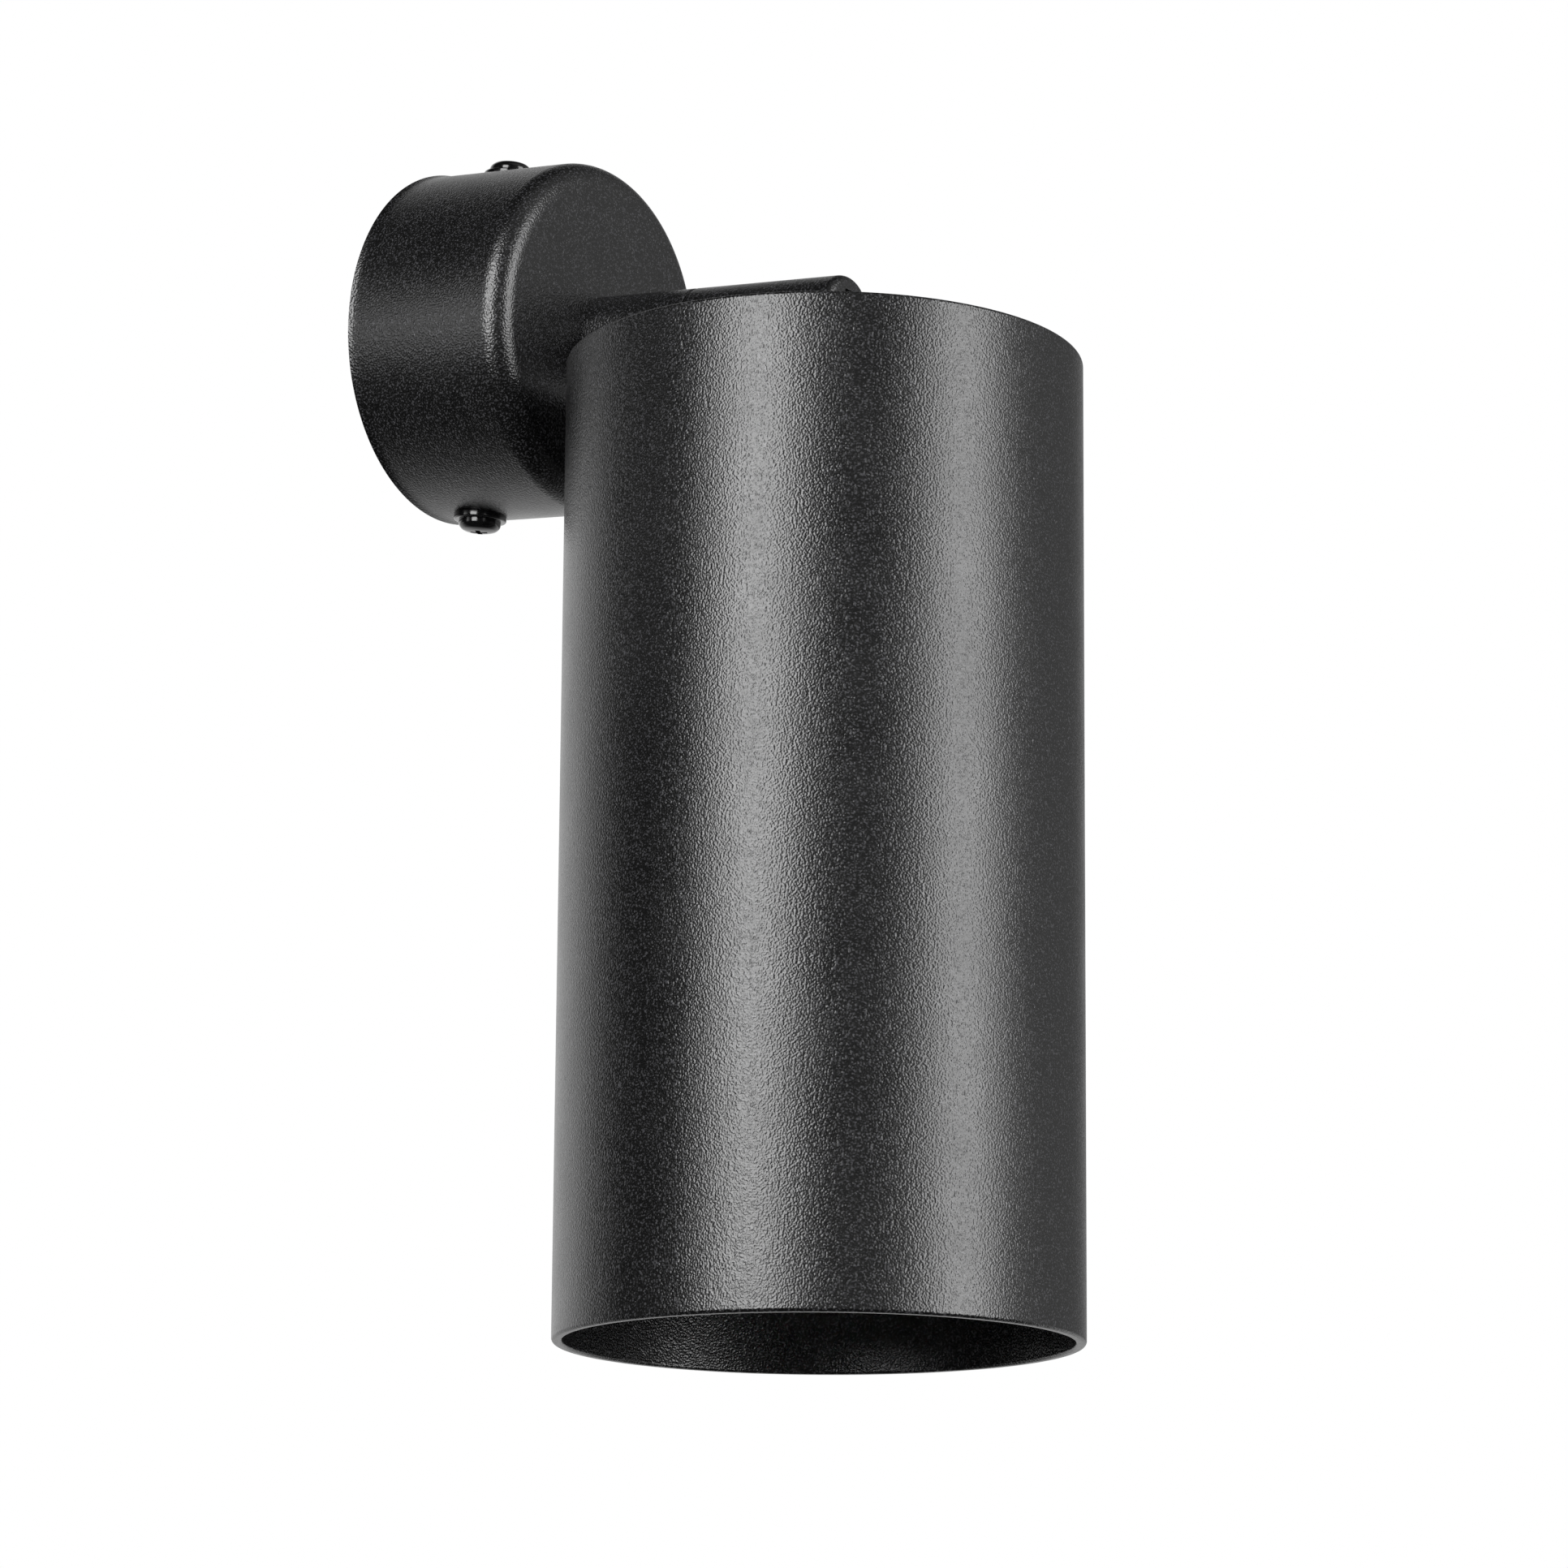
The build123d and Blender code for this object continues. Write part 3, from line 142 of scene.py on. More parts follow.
class FinishColours(bpy.types.PropertyGroup):
    coat: colour("Powder coat", "#0d0d0e", "Colour of the black textured powder coat")
    screws: colour("Black screws", "#0b0b0c", "Colour of the glossy black screws")
    lamp: colour("Lamp", "#eeece6", "Colour of the lamp's plastic body")
    floor: colour("Floor", "#e8e8e6", "Colour of the studio floor")


# ---- modelling by hand, in code --------------------------------------------------------------
def clear():
    """Leaves edit mode and lets go of everything that is selected."""
    if bpy.context.mode != "OBJECT":
        bpy.ops.object.mode_set(mode="OBJECT")
    bpy.ops.object.select_all(action="DESELECT")


def pick(kind, wanted):
    """Selects the open mesh's vertices, edges or faces that pass a test, and nothing else."""
    bpy.ops.mesh.select_mode(type=kind)
    bpy.ops.mesh.select_all(action="DESELECT")
    mesh = bmesh.from_edit_mesh(bpy.context.edit_object.data)
    found = 0
    for item in {"VERT": mesh.verts, "EDGE": mesh.edges, "FACE": mesh.faces}[kind]:
        if wanted(item):
            item.select_set(True)
            found += 1
    mesh.select_flush_mode()
    bmesh.update_edit_mesh(bpy.context.edit_object.data)
    if not found:
        raise RuntimeError("nothing on %s matches the selection" % bpy.context.edit_object.name)


def near(point, spot, reach=0.002 * MM):
    return (Vector(point) - Vector(spot)).length < reach


def lathe(name, outline, rounds=(), steps=256):
    """Turns a closed outline of (radius, height) corners, in mm, about the upright axis.

    rounds holds (corner number, rounding in mm, segments) for the corners that aren't sharp.
    """
    clear()
    bpy.ops.mesh.primitive_plane_add(size=MM)
    piece = bpy.context.object
    piece.name = piece.data.name = name
    bpy.ops.object.mode_set(mode="EDIT")
    bpy.ops.mesh.select_mode(type="VERT")
    bpy.ops.mesh.select_all(action="SELECT")
    bpy.ops.mesh.merge(type="CENTER")
    corners = [Vector((r, 0, z)) * MM for r, z in outline]
    bpy.ops.transform.translate(value=corners[0])
    for here, there in zip(corners, corners[1:]):
        bpy.ops.mesh.extrude_vertices_move(TRANSFORM_OT_translate={"value": there - here})
    pick("VERT", lambda v: near(v.co, corners[0]) or near(v.co, corners[-1]))
    bpy.ops.mesh.edge_face_add()
    for number, size, segments in rounds:
        pick("VERT", lambda v: near(v.co, corners[number]))
        bpy.ops.mesh.bevel(offset=size * MM, segments=segments, profile=0.5, affect="VERTICES")
    bpy.ops.mesh.select_all(action="SELECT")
    bpy.ops.mesh.spin(steps=steps, angle=2 * pi, center=(0, 0, 0), axis=(0, 0, 1))
    bpy.ops.mesh.select_all(action="SELECT")
    bpy.ops.mesh.remove_doubles(threshold=0.001 * MM)
    bpy.ops.mesh.select_all(action="SELECT")
    bpy.ops.mesh.normals_make_consistent(inside=False)
    bpy.ops.object.mode_set(mode="OBJECT")
    return piece


def box(name, low, high):
    """Block between two corners in mm, to be shaped or cut with."""
    clear()
    low, high = Vector(low) * MM, Vector(high) * MM
    bpy.ops.mesh.primitive_cube_add(size=1, location=(low + high) / 2, scale=high - low)
    piece = bpy.context.object
    piece.name = piece.data.name = name
    bpy.ops.object.transform_apply(location=True, rotation=True, scale=True)
    return piece


def rod(name, radius, low, high, axis="Z", at=(0, 0, 0), steps=96):
    """Round bar along an axis, in mm, to be shaped or cut with."""
    clear()
    turn = {"Z": (0, 0, 0), "X": (0, pi / 2, 0), "Y": (-pi / 2, 0, 0)}[axis]
    middle = Vector(at)
    middle["XYZ".index(axis)] = (low + high) / 2
    bpy.ops.mesh.primitive_cylinder_add(
        vertices=steps, radius=radius * MM, depth=(high - low) * MM, location=middle * MM, rotation=turn
    )
    piece = bpy.context.object
    piece.name = piece.data.name = name
    bpy.ops.object.transform_apply(location=True, rotation=True, scale=True)
    return piece


def finish_modifier(piece, kind, **settings):
    """Adds one modifier and applies it."""
    clear()
    piece.select_set(True)
    bpy.context.view_layer.objects.active = piece
    modifier = piece.modifiers.new(kind.lower(), kind)
    for key, value in settings.items():
        setattr(modifier, key, value)
    bpy.ops.object.modifier_apply(modifier=modifier.name)


def break_edges(piece, size, segments, degrees):
    """Rounds the edges past an angle, this many millimetres wide."""
    finish_modifier(piece, "BEVEL", width=size * MM, segments=segments, limit_method="ANGLE",
                    angle_limit=radians(degrees), harden_normals=False)


def combine(piece, other, operation="DIFFERENCE"):
    """Cuts the piece with another, or joins or keeps what both share, and uses the other up."""
    finish_modifier(piece, "BOOLEAN", operation=operation, solver="EXACT", object=other)
    clear()
    other.select_set(True)
    bpy.ops.object.delete()
    return piece


def place(piece, *turns, at=(0, 0, 0)):
    """Turns a piece by (degrees, axis) pairs in order, moves it by mm and writes that into its mesh."""
    clear()
    matrix = Matrix.Translation(Vector(at) * MM)
    for degrees, axis in reversed(turns):
        matrix = matrix @ Matrix.Rotation(radians(degrees), 4, axis)
    piece.matrix_world = matrix
    piece.select_set(True)
    bpy.context.view_layer.objects.active = piece
    bpy.ops.object.transform_apply(location=True, rotation=True, scale=True)
    return piece


def arc_points(start, heading, end, count):
    """Points after start, up to end, on the arc that leaves start along a heading."""
    start, end = Vector(start), Vector(end)
    way = end - start
    side = Vector((-heading[1], heading[0])).normalized()
    radius = way.length_squared / (2 * way.dot(side))
    middle = start + side * radius
    spoke = start - middle
    total = spoke.angle_signed(end - middle)
    points = []
    for number in range(1, count + 1):
        turned = Matrix.Rotation(-total * number / count, 2) @ spoke
        points.append(tuple(middle + turned))
    return points


def ring_of(cutter, count):
    """Copies a cutter round the upright axis and joins all the copies in one."""
    pieces = [cutter]
    for number in range(1, count):
        copy = cutter.copy()
        copy.data = cutter.data.copy()
        bpy.context.collection.objects.link(copy)
        pieces.append(place(copy, (360 * number / count, "Z")))
    clear()
    for piece in pieces:
        piece.select_set(True)
    bpy.context.view_layer.objects.active = cutter
    bpy.ops.object.join()
    return cutter


def smooth(piece, degrees=35):
    """Cleans up what the cuts left, then shades smooth with the edges past the angle kept sharp."""
    clear()
    piece.select_set(True)
    bpy.context.view_layer.objects.active = piece
    bpy.ops.object.mode_set(mode="EDIT")
    bpy.ops.mesh.select_mode(type="VERT")
    bpy.ops.mesh.select_all(action="SELECT")
    bpy.ops.mesh.remove_doubles(threshold=0.004 * MM)
    bpy.ops.mesh.select_all(action="SELECT")
    bpy.ops.mesh.dissolve_degenerate(threshold=0.002 * MM)
    bpy.ops.mesh.select_all(action="SELECT")
    bpy.ops.mesh.delete_loose()
    bpy.ops.mesh.select_all(action="SELECT")
    bpy.ops.mesh.normals_make_consistent(inside=False)
    bpy.ops.object.mode_set(mode="OBJECT")
    bpy.ops.object.shade_smooth_by_angle(angle=radians(degrees))
    finish_modifier(piece, "WEIGHTED_NORMAL", mode="FACE_AREA", weight=50, keep_sharp=True)
    return piece


def on_lamp(piece):
    """Moves a piece that is built upright about the pivot to where the leaning lamp has it."""
    sizes = bpy.context.scene.wall_light_tube
    return place(piece, (-sizes.lean * 180 / pi, "X"), at=(0, -sizes.pivot / MM, 0))


def from_wall(piece):
    """Lays a piece whose heights are depths along the arm's axis, out from the wall."""
    return place(piece, (90, "X"))


def install(piece, body, slot, node):
    """Gives a finished piece its finish and its moving body, and hides the frame node it stands for."""
    piece.data.materials.clear()
    piece.data.materials.append(FINISHES[slot])
    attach(piece, body)
    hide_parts(node)


# ---- finishes --------------------------------------------------------------------------------
# The range that most of a noise's values lie in, and the whole range of a share.
NOISE, FULL = (0.3, 0.7), (0.0, 1.0)


def add(material, kind, values=None, **settings):
    """Adds one node with its settings; each value is a number for a socket or a link to it."""
    tree = material.node_tree
    node = tree.nodes.new(kind)
    for key, value in settings.items():
        setattr(node, key, value)
    for key, value in (values or {}).items():
        if isinstance(value, bpy.types.NodeSocket):
            tree.links.new(value, node.inputs[key])
        else:
            node.inputs[key].default_value = value
    return node


def start(name, base, roughness, metallic=0.0, **sockets):
    """A new material with its main shader; returns the material, the shader and the coordinates."""
    if name in bpy.data.materials:
        bpy.data.materials.remove(bpy.data.materials[name])
    material = bpy.data.materials.new(name)
    material.use_nodes = True
    material.diffuse_color = (*base, 1)
    shader = material.node_tree.nodes["Principled BSDF"]
    shader.inputs["Base Color"].default_value = (*base, 1)
    shader.inputs["Roughness"].default_value = roughness
    shader.inputs["Metallic"].default_value = metallic
    for key, value in sockets.items():
        shader.inputs[key.replace("_", " ")].default_value = value
    where = add(material, "ShaderNodeTexCoord").outputs["Object"]
    return material, shader, where


def feed(material, shader, **links):
    """Links outputs to the shader's sockets, each named with an underscore for a space."""
    for key, source in links.items():
        material.node_tree.links.new(source, shader.inputs[key.replace("_", " ")])


def per_mm(size):
    """Scale of a pattern whose features are this many millimetres apart."""
    return 1 / (size * MM)


def tint(base, factor):
    """The colour made darker or lighter by a factor."""
    return (*[min(1.0, c * factor) for c in base], 1)


def noise(material, where, size, detail):
    """Noise with cells this many millimetres apart."""
    node = add(material, "ShaderNodeTexNoise", {"Vector": where, "Scale": per_mm(size), "Detail": detail})
    return node.outputs["Fac"]


def spread(material, value, source, target):
    """Carries a value from one (low, high) range over to another, held at its ends."""
    node = add(material, "ShaderNodeMapRange", {"Value": value, "From Min": source[0], "From Max": source[1],
                                                "To Min": target[0], "To Max": target[1]})
    return node.outputs["Result"]


def mottle(material, factor, low, high):
    """Colour between two others, as a pattern has it."""
    node = add(material, "ShaderNodeMix", {"Factor": factor, "A": low, "B": high}, data_type="RGBA")
    return node.outputs["Result"]


def relief(material, height, strength, deep):
    """Surface relief from a pattern, this many millimetres deep."""
    node = add(material, "ShaderNodeBump", {"Height": height, "Strength": strength, "Distance": deep * MM})
    return node.outputs["Normal"]


def powder_coat(name, base):
    """Polyester powder coat with a fine texture, sprayed and baked.

    It gives a matt black with a soft sheen that breaks up into tiny grains, partly from their relief and
    partly from glints and shade painted into the colour.
    """
    material, shader, where = start(name, base, 0.3, IOR=1.5, Specular_IOR_Level=1.0)
    # The grains are drawn by one noise. Painted glints and painted shade: the colour is much paler on the
    # grains' tops and darker in their hollows, standing in for light caught on the tops and shade in the
    # hollows.
    cell, deep, patch = 0.38, 0.095, 12
    painted_hollow_shade, top, painted_glint_tops = 0.3, 15.0, (0.54, 0.8)
    grain = noise(material, where, cell, 0.0)
    # Painted light: the paler grain tops are painted glints, and the darker hollows are painted shade.
    shade = mottle(material, spread(material, grain, painted_glint_tops, FULL), tint(base, painted_hollow_shade), tint(base, top))
    dull = spread(material, noise(material, where, patch, 2.0), NOISE, (0.28, 0.32))
    feed(material, shader, Base_Color=shade, Roughness=dull, Normal=relief(material, grain, 1.0, deep))
    return material


def glossy_black(name, base):
    """Black-lacquered steel screw: a deep gloss that shows the studio lights, with faint orange peel."""
    material, shader, where = start(name, base, 0.14, IOR=1.52, Coat_Weight=0.5, Coat_Roughness=0.06)
    peel = noise(material, where, 0.9, 2.0)
    dull = spread(material, peel, NOISE, (0.1, 0.2))
    feed(material, shader, Roughness=dull, Normal=relief(material, peel, 0.12, 0.05))
    return material


def metal(name, base, roughness, streak, grain):
    """Plated or turned metal: fine streaks from rolling or turning and patches of softer shine."""
    material, shader, where = start(name, base, roughness, metallic=1.0)
    stretched = add(material, "ShaderNodeMapping", {"Vector": where, "Scale": streak})
    lines = noise(material, stretched.outputs["Vector"], grain, 3.0)
    cloud = noise(material, where, 6, 3.0)
    both = add(material, "ShaderNodeMix", {"Factor": 0.4, "A": lines, "B": cloud}, data_type="FLOAT")
    dull = spread(material, both.outputs[0], NOISE, (roughness * 0.7, roughness * 1.35))
    shade = mottle(material, cloud, tint(base, 0.88), tint(base, 1.08))
    feed(material, shader, Base_Color=shade, Roughness=dull, Normal=relief(material, lines, 0.15, 0.03))
    return material


def moulded(name, base, roughness, grain=0.5, depth=0.02, **sockets):
    """Moulded plastic, rubber or glaze: an even skin with a faint tooth and slow shade changes."""
    material, shader, where = start(name, base, roughness, **sockets)
    skin = noise(material, where, grain, 3.0)
    flow = noise(material, where, 9, 2.0)
    shade = mottle(material, flow, tint(base, 0.93), tint(base, 1.05))
    dull = spread(material, flow, NOISE, (roughness * 0.88, roughness * 1.12))
    feed(material, shader, Base_Color=shade, Roughness=dull, Normal=relief(material, skin, 0.2, depth))
    return material


def make_finishes():
    """One material for each material slot of the record."""
    colours = bpy.context.scene.wall_light_colours
    coat = powder_coat("black_fine_texture_powder_coat", tuple(colours.coat))
    lamp = tuple(colours.lamp)
    return {
        "coated_steel": coat,
        "coated_aluminium": coat,
        "black_screw": glossy_black("black_lacquered_steel", tuple(colours.screws)),
        # Zinc plate is a cool grey metal with a satin shine and faint rolling marks.
        "bare_steel": metal("zinc_plated_steel", linear("#b4b8bc"), 0.34, (1.0, 1.0, 0.12), 0.3),
        # Turned brass is a warm yellow metal with fine turning lines.
        "brass": metal("turned_brass", linear("#c9a45c"), 0.26, (1.0, 1.0, 0.2), 0.2),
        # Bright nickel is nearly a mirror with a slightly warm grey.
        "nickel": metal("nickel_plated_brass", linear("#c6c2b9"), 0.14, (1.0, 1.0, 0.3), 0.3),
        # Grommet rubber is dull and dark with a faint bloom.
        "rubber": moulded("moulded_rubber", linear("#1d1d1d"), 0.72, 0.3, 0.03, IOR=1.52),
        # Glass-filled nylon is off-white with a satin skin.
        "white_plastic": moulded("white_moulded_nylon", lamp, 0.42, 0.4, 0.02, IOR=1.53),
        # Plain nylon is cream and lets a little light into its skin.
        "natural_nylon": moulded("natural_nylon", linear("#dcd6c4"), 0.4, 0.4, 0.02, IOR=1.53,
                                 Subsurface_Weight=0.15, Subsurface_Scale=0.002),
        # The friction washers' plastic is white and waxy.
        "slippery_plastic": moulded("waxy_washer_plastic", linear("#e9e9e6"), 0.38, 0.8, 0.01, IOR=1.4),
        # The lampholder's thermoset plastic is black with a low satin shine.
        "black_plastic": moulded("black_moulded_thermoset", linear("#161514"), 0.32, 0.6, 0.015, IOR=1.55),
        # The opal diffuser is white all through and softens what is behind it.
        "opal_plastic": moulded("opal_polycarbonate", lamp, 0.3, 0.6, 0.01, IOR=1.58,
                                Subsurface_Weight=0.3, Subsurface_Scale=0.003),
        # Glazed steatite is a creamy ceramic with a wet shine.
        "ceramic": moulded("glazed_steatite", linear("#e2dcc9"), 0.2, 0.7, 0.03, IOR=1.55, Coat_Weight=0.6,
                           Coat_Roughness=0.08),
        # The ring between lamp cap and tip is black glass.
        "dark_glass": moulded("black_glass", linear("#0d0d12"), 0.06, 1.5, 0.01, IOR=1.6),
        # The lead's sheath is soft and dull.
        "lead_sheath": moulded("soft_lead_sheath", linear("#1a1a1a"), 0.55, 0.5, 0.02, IOR=1.5),
        # The cores' insulation is smooth, with a soft shine.
        "brown_core": moulded("brown_core_insulation", linear("#5b3620"), 0.38, 0.5, 0.01, IOR=1.54),
        "blue_core": moulded("blue_core_insulation", linear("#2a5aa6"), 0.38, 0.5, 0.01, IOR=1.54),
        "earth_core": moulded("green_yellow_core_insulation", linear("#9cc21f"), 0.38, 0.5, 0.01, IOR=1.54),
    }


FINISHES = {}


# ---- pieces ----------------------------------------------------------------------------------
# Fits that more than one piece takes from the frame, in mm.
CLEAR = 0.05  # gap between pieces that sit in or on each other
OVER = 1  # how far a cutter stands past what it cuts
STUD_BORE = 5.05  # radius of the bores round the hollow studs
LEAD_BORE = 3.3  # radius of the arm's bore for the lead
SCREW_BORE = 1.55  # radius of the bores for the grub screw, the pivot and the foot's screws
GRUB_DROP = 3.7  # from the seam back to the grub screw and its groove
FOOT_SCREW_X = 11  # place of the foot's screws to each side of the tongue
LEAD_Y = 18  # place of the lead's hole behind the tongue


class WALLLIGHT_OT_finishes(bpy.types.Operator):
    """Makes the finishes and gives one to every node of the frame"""

    bl_idname = "wall_light.finishes"
    bl_label = "Finishes"

    def execute(self, context):
        FINISHES.update(make_finishes())
        for part in frame["record"]["subparts"]:
            node = frame["nodes"][part["node"]]
            for slot in node.material_slots:
                slot.material = FINISHES[part["material_slot"]]
        return {"FINISHED"}


class WALLLIGHT_OT_tube(bpy.types.Operator):
    """Turns the long tube with its rounded rims"""

    bl_idname = "wall_light.tube"
    bl_label = "Tube"

    def execute(self, context):
        s = context.scene.wall_light_tube
        outer, inner = s.outside / 2 / MM, (s.outside / 2 - s.wall) / MM
        top, low = -s.top / MM, -(s.top + s.long) / MM
        edge, edge_in_low, edge_in_top = s.edge / MM, 0.55, 0.35
        tube = lathe(
            "tube_shell",
            [(outer, top), (outer, low), (inner, low), (inner, top)],
            [(0, edge, 6), (1, edge, 6), (2, edge_in_low, 6), (3, edge_in_top, 4)],
            steps=320,
        )
        smooth(on_lamp(tube))
        install(tube, "lamp_head", "coated_aluminium", "lamp_tube")
        return {"FINISHED"}


class WALLLIGHT_OT_canopy(bpy.types.Operator):
    """Spins the cup on the wall, with its rounded front and turned-out rear rim"""

    bl_idname = "wall_light.canopy"
    bl_label = "Canopy"

    def execute(self, context):
        s = context.scene.wall_light_canopy
        outer, wall, deep, flare = s.outside / 2 / MM, s.wall / MM, s.deep / MM, s.flare / MM
        fillet, flare_high, flare_start = s.round / MM, 2.0, 0.25
        hole_radius, hole_reach = 2.2, outer + 2
        cup = lathe(
            "canopy_cup",
            [
                (STUD_BORE, deep), (outer, deep), (outer, flare_high),
                (outer + flare * flare_start, flare_high / 2), (outer + flare, 0.0), (outer - wall, 0.0),
                (outer - wall, deep - wall), (STUD_BORE, deep - wall),
            ],
            [(1, fillet, 16), (2, 0.6, 4), (3, 0.5, 3), (6, fillet - wall, 10)],
        )
        from_wall(cup)
        hole = rod("screw_holes", hole_radius, -hole_reach, hole_reach, "Z", at=(0, -s.screw_depth / MM, 0))
        smooth(combine(cup, hole))
        install(cup, "wall_mount", "coated_steel", "canopy_cover")
        return {"FINISHED"}


def cross_cutter(long, wide, deep):
    """Tapered cross that sinks a screwdriver's recess, its mouth at the origin."""
    narrowing = (0.4, 0.65, 1)
    blades = []
    for turn in (0, 90):
        blade = box("blade", (-long / 2, -wide / 2, -deep), (long / 2, wide / 2, deep))
        bpy.ops.object.mode_set(mode="EDIT")
        pick("FACE", lambda f: f.normal.z < -0.9)
        bpy.ops.transform.resize(value=narrowing, center_override=(0, 0, -deep * MM))
        bpy.ops.object.mode_set(mode="OBJECT")
        blades.append(place(blade, (turn, "Z")))
    return combine(blades[0], blades[1], "UNION")


class WALLLIGHT_OT_collar_screws(bpy.types.Operator):
    """Turns one collar screw, sinks its recess and sets a copy above and below the canopy"""

    bl_idname = "wall_light.collar_screws"
    bl_label = "Collar screws"

    def execute(self, context):
        s = context.scene.wall_light_canopy
        collar, head, high = s.collar / 2 / MM, s.head / 2 / MM, s.head_high / MM
        thick, shank, shank_end, under = 1, 2, -7, -0.42
        top = thick + high
        # The dome's outline, as shares of the head's radius and height.
        dome = [(1, 0.35), (0.93, 0.62), (0.74, 0.84), (0.4, 0.97)]
        screw = lathe(
            "collar_screw_upper",
            [
                (0, shank_end), (shank, shank_end), (shank, under), (collar, under), (collar, thick),
                (head, thick), *[(head * out, thick + high * up) for out, up in dome], (0, top),
            ],
            [(1, 0.4, 2), (3, 0.3, 3), (4, 0.3, 4), (6, 0.3, 4), (7, 0.6, 4), (8, 0.8, 4), (9, 0.8, 4)],
            steps=128,
        )
        cross_long, cross_wide, cross_deep = 5.0, 1.2, 1.8
        combine(screw, place(cross_cutter(cross_long, cross_wide, cross_deep), at=(0, 0, top)))
        lower = screw.copy()
        lower.data = screw.data.copy()
        lower.name = lower.data.name = "collar_screw_lower"
        context.collection.objects.link(lower)
        lift, depth = s.outside / 2 / MM + CLEAR, -s.screw_depth / MM
        upper_turn, lower_turn = 20, 65
        place(screw, (upper_turn, "Z"), at=(0, depth, lift))
        place(lower, (lower_turn, "Z"), (180, "X"), at=(0, depth, -lift))
        seat_radius, seat_half, room, room_reach = lift - 0.02, 8, 2.15, lift + 2
        for piece in (screw, lower):
            # The collar's seat follows the round canopy, and the shank goes on through it.
            seat = rod("seat", seat_radius, depth - seat_half, depth + seat_half, "Y")
            shank_room = rod("shank_room", room, -room_reach, room_reach, "Z", at=(0, depth, 0))
            combine(piece, combine(seat, shank_room))
            smooth(piece)
            install(piece, "wall_mount", "black_screw", "canopy_screws")
        return {"FINISHED"}


class WALLLIGHT_OT_arm_base(bpy.types.Operator):
    """Turns the fixed half of the arm"""

    bl_idname = "wall_light.arm_base"
    bl_label = "Arm, fixed half"

    def execute(self, context):
        s = context.scene.wall_light_arm
        radius, seam, near_end = s.outside / 2 / MM, s.seam / MM, context.scene.wall_light_canopy.deep / MM
        socket, socket_end, stud_end = 6.0, seam - 8.4, near_end + 10.2
        arm = lathe(
            "arm_fixed_half",
            [
                (radius, near_end), (radius, seam), (socket, seam), (socket, socket_end),
                (LEAD_BORE, socket_end), (LEAD_BORE, stud_end), (STUD_BORE, stud_end), (STUD_BORE, near_end),
            ],
            [(1, s.seam_round / MM, 4)],
        )
        from_wall(arm)
        combine(arm, rod("grub_hole", SCREW_BORE, 0, radius + OVER, "X", at=(0, -seam + GRUB_DROP, 0)))
        smooth(arm)
        install(arm, "wall_mount", "coated_aluminium", "arm_base")
        return {"FINISHED"}


class WALLLIGHT_OT_arm_head(bpy.types.Operator):
    """Turns the moving half of the arm and mills the tongue's slot and the pivot's seats"""

    bl_idname = "wall_light.arm_head"
    bl_label = "Arm, turning half"

    def execute(self, context):
        s = context.scene.wall_light_arm
        radius, end, start_depth = s.outside / 2 / MM, s.end / MM, (s.seam + s.gap) / MM
        groove, groove_half, groove_radius = s.seam / MM - GRUB_DROP, 1.5, 4.95
        spigot, spigot_end, bore_end = 5.95, 52.2, 79
        arm = lathe(
            "arm_turning_half",
            [
                (LEAD_BORE, spigot_end), (spigot, spigot_end), (spigot, groove - groove_half),
                (groove_radius, groove - groove_half), (groove_radius, groove + groove_half),
                (spigot, groove + groove_half), (spigot, start_depth), (radius, start_depth), (radius, end),
                (0, end), (0, bore_end), (LEAD_BORE, bore_end),
            ],
            [(7, s.seam_round / MM, 4), (8, s.end_round / MM, 8)],
        )
        from_wall(arm)
        half, roof = s.slot_wide / 2 / MM, s.slot_top / MM
        combine(arm, box("slot", (-half, -end - OVER, -radius - OVER), (half, -s.slot_start / MM, roof)))
        # The pivot's bore, with a seat for its screw's head on one side and for its nut on the other.
        pivot = (0, -context.scene.wall_light_tube.pivot / MM, 0)
        head_seat, nut_seat, seat_deep, reach = 3.05, 3.3755, 3, 20
        combine(arm, rod("pivot_hole", SCREW_BORE, -reach, reach, "X", at=pivot))
        combine(arm, rod("head_seat", head_seat, -reach, seat_deep - radius, "X", at=pivot))
        combine(arm, rod("nut_seat", nut_seat, radius - seat_deep, reach, "X", at=pivot))
        break_edges(arm, 0.15, 2, 55)
        smooth(arm)
        install(arm, "swivel_arm", "coated_aluminium", "arm_head")
        return {"FINISHED"}


class WALLLIGHT_OT_cap(bpy.types.Operator):
    """Turns the cap in the tube's top and drills its three holes"""

    bl_idname = "wall_light.cap"
    bl_label = "Top cap"

    def execute(self, context):
        s = context.scene.wall_light_tube
        radius, top = (s.outside / 2 - s.wall) / MM - CLEAR, -s.cap_top / MM
        under, skirt, skirt_in = top - s.cap_thick / MM, top - s.cap_skirt / MM, radius - 1.5
        cap = lathe(
            "top_cap_disc",
            [(0, top), (radius, top), (radius, skirt), (skirt_in, skirt), (skirt_in, under), (0, under)],
            [(1, 1.0, 6), (4, 0.8, 4)],
        )
        screw_hole, lead_hole, low, high = 1.7, 4.5, under - OVER, top + OVER
        for x in (-FOOT_SCREW_X, FOOT_SCREW_X):
            combine(cap, rod("screw_hole", screw_hole, low, high, at=(x, 0, 0), steps=48))
        combine(cap, rod("lead_hole", lead_hole, low, high, at=(0, LEAD_Y, 0), steps=64))
        smooth(on_lamp(cap))
        install(cap, "lamp_head", "coated_aluminium", "top_cap")
        return {"FINISHED"}


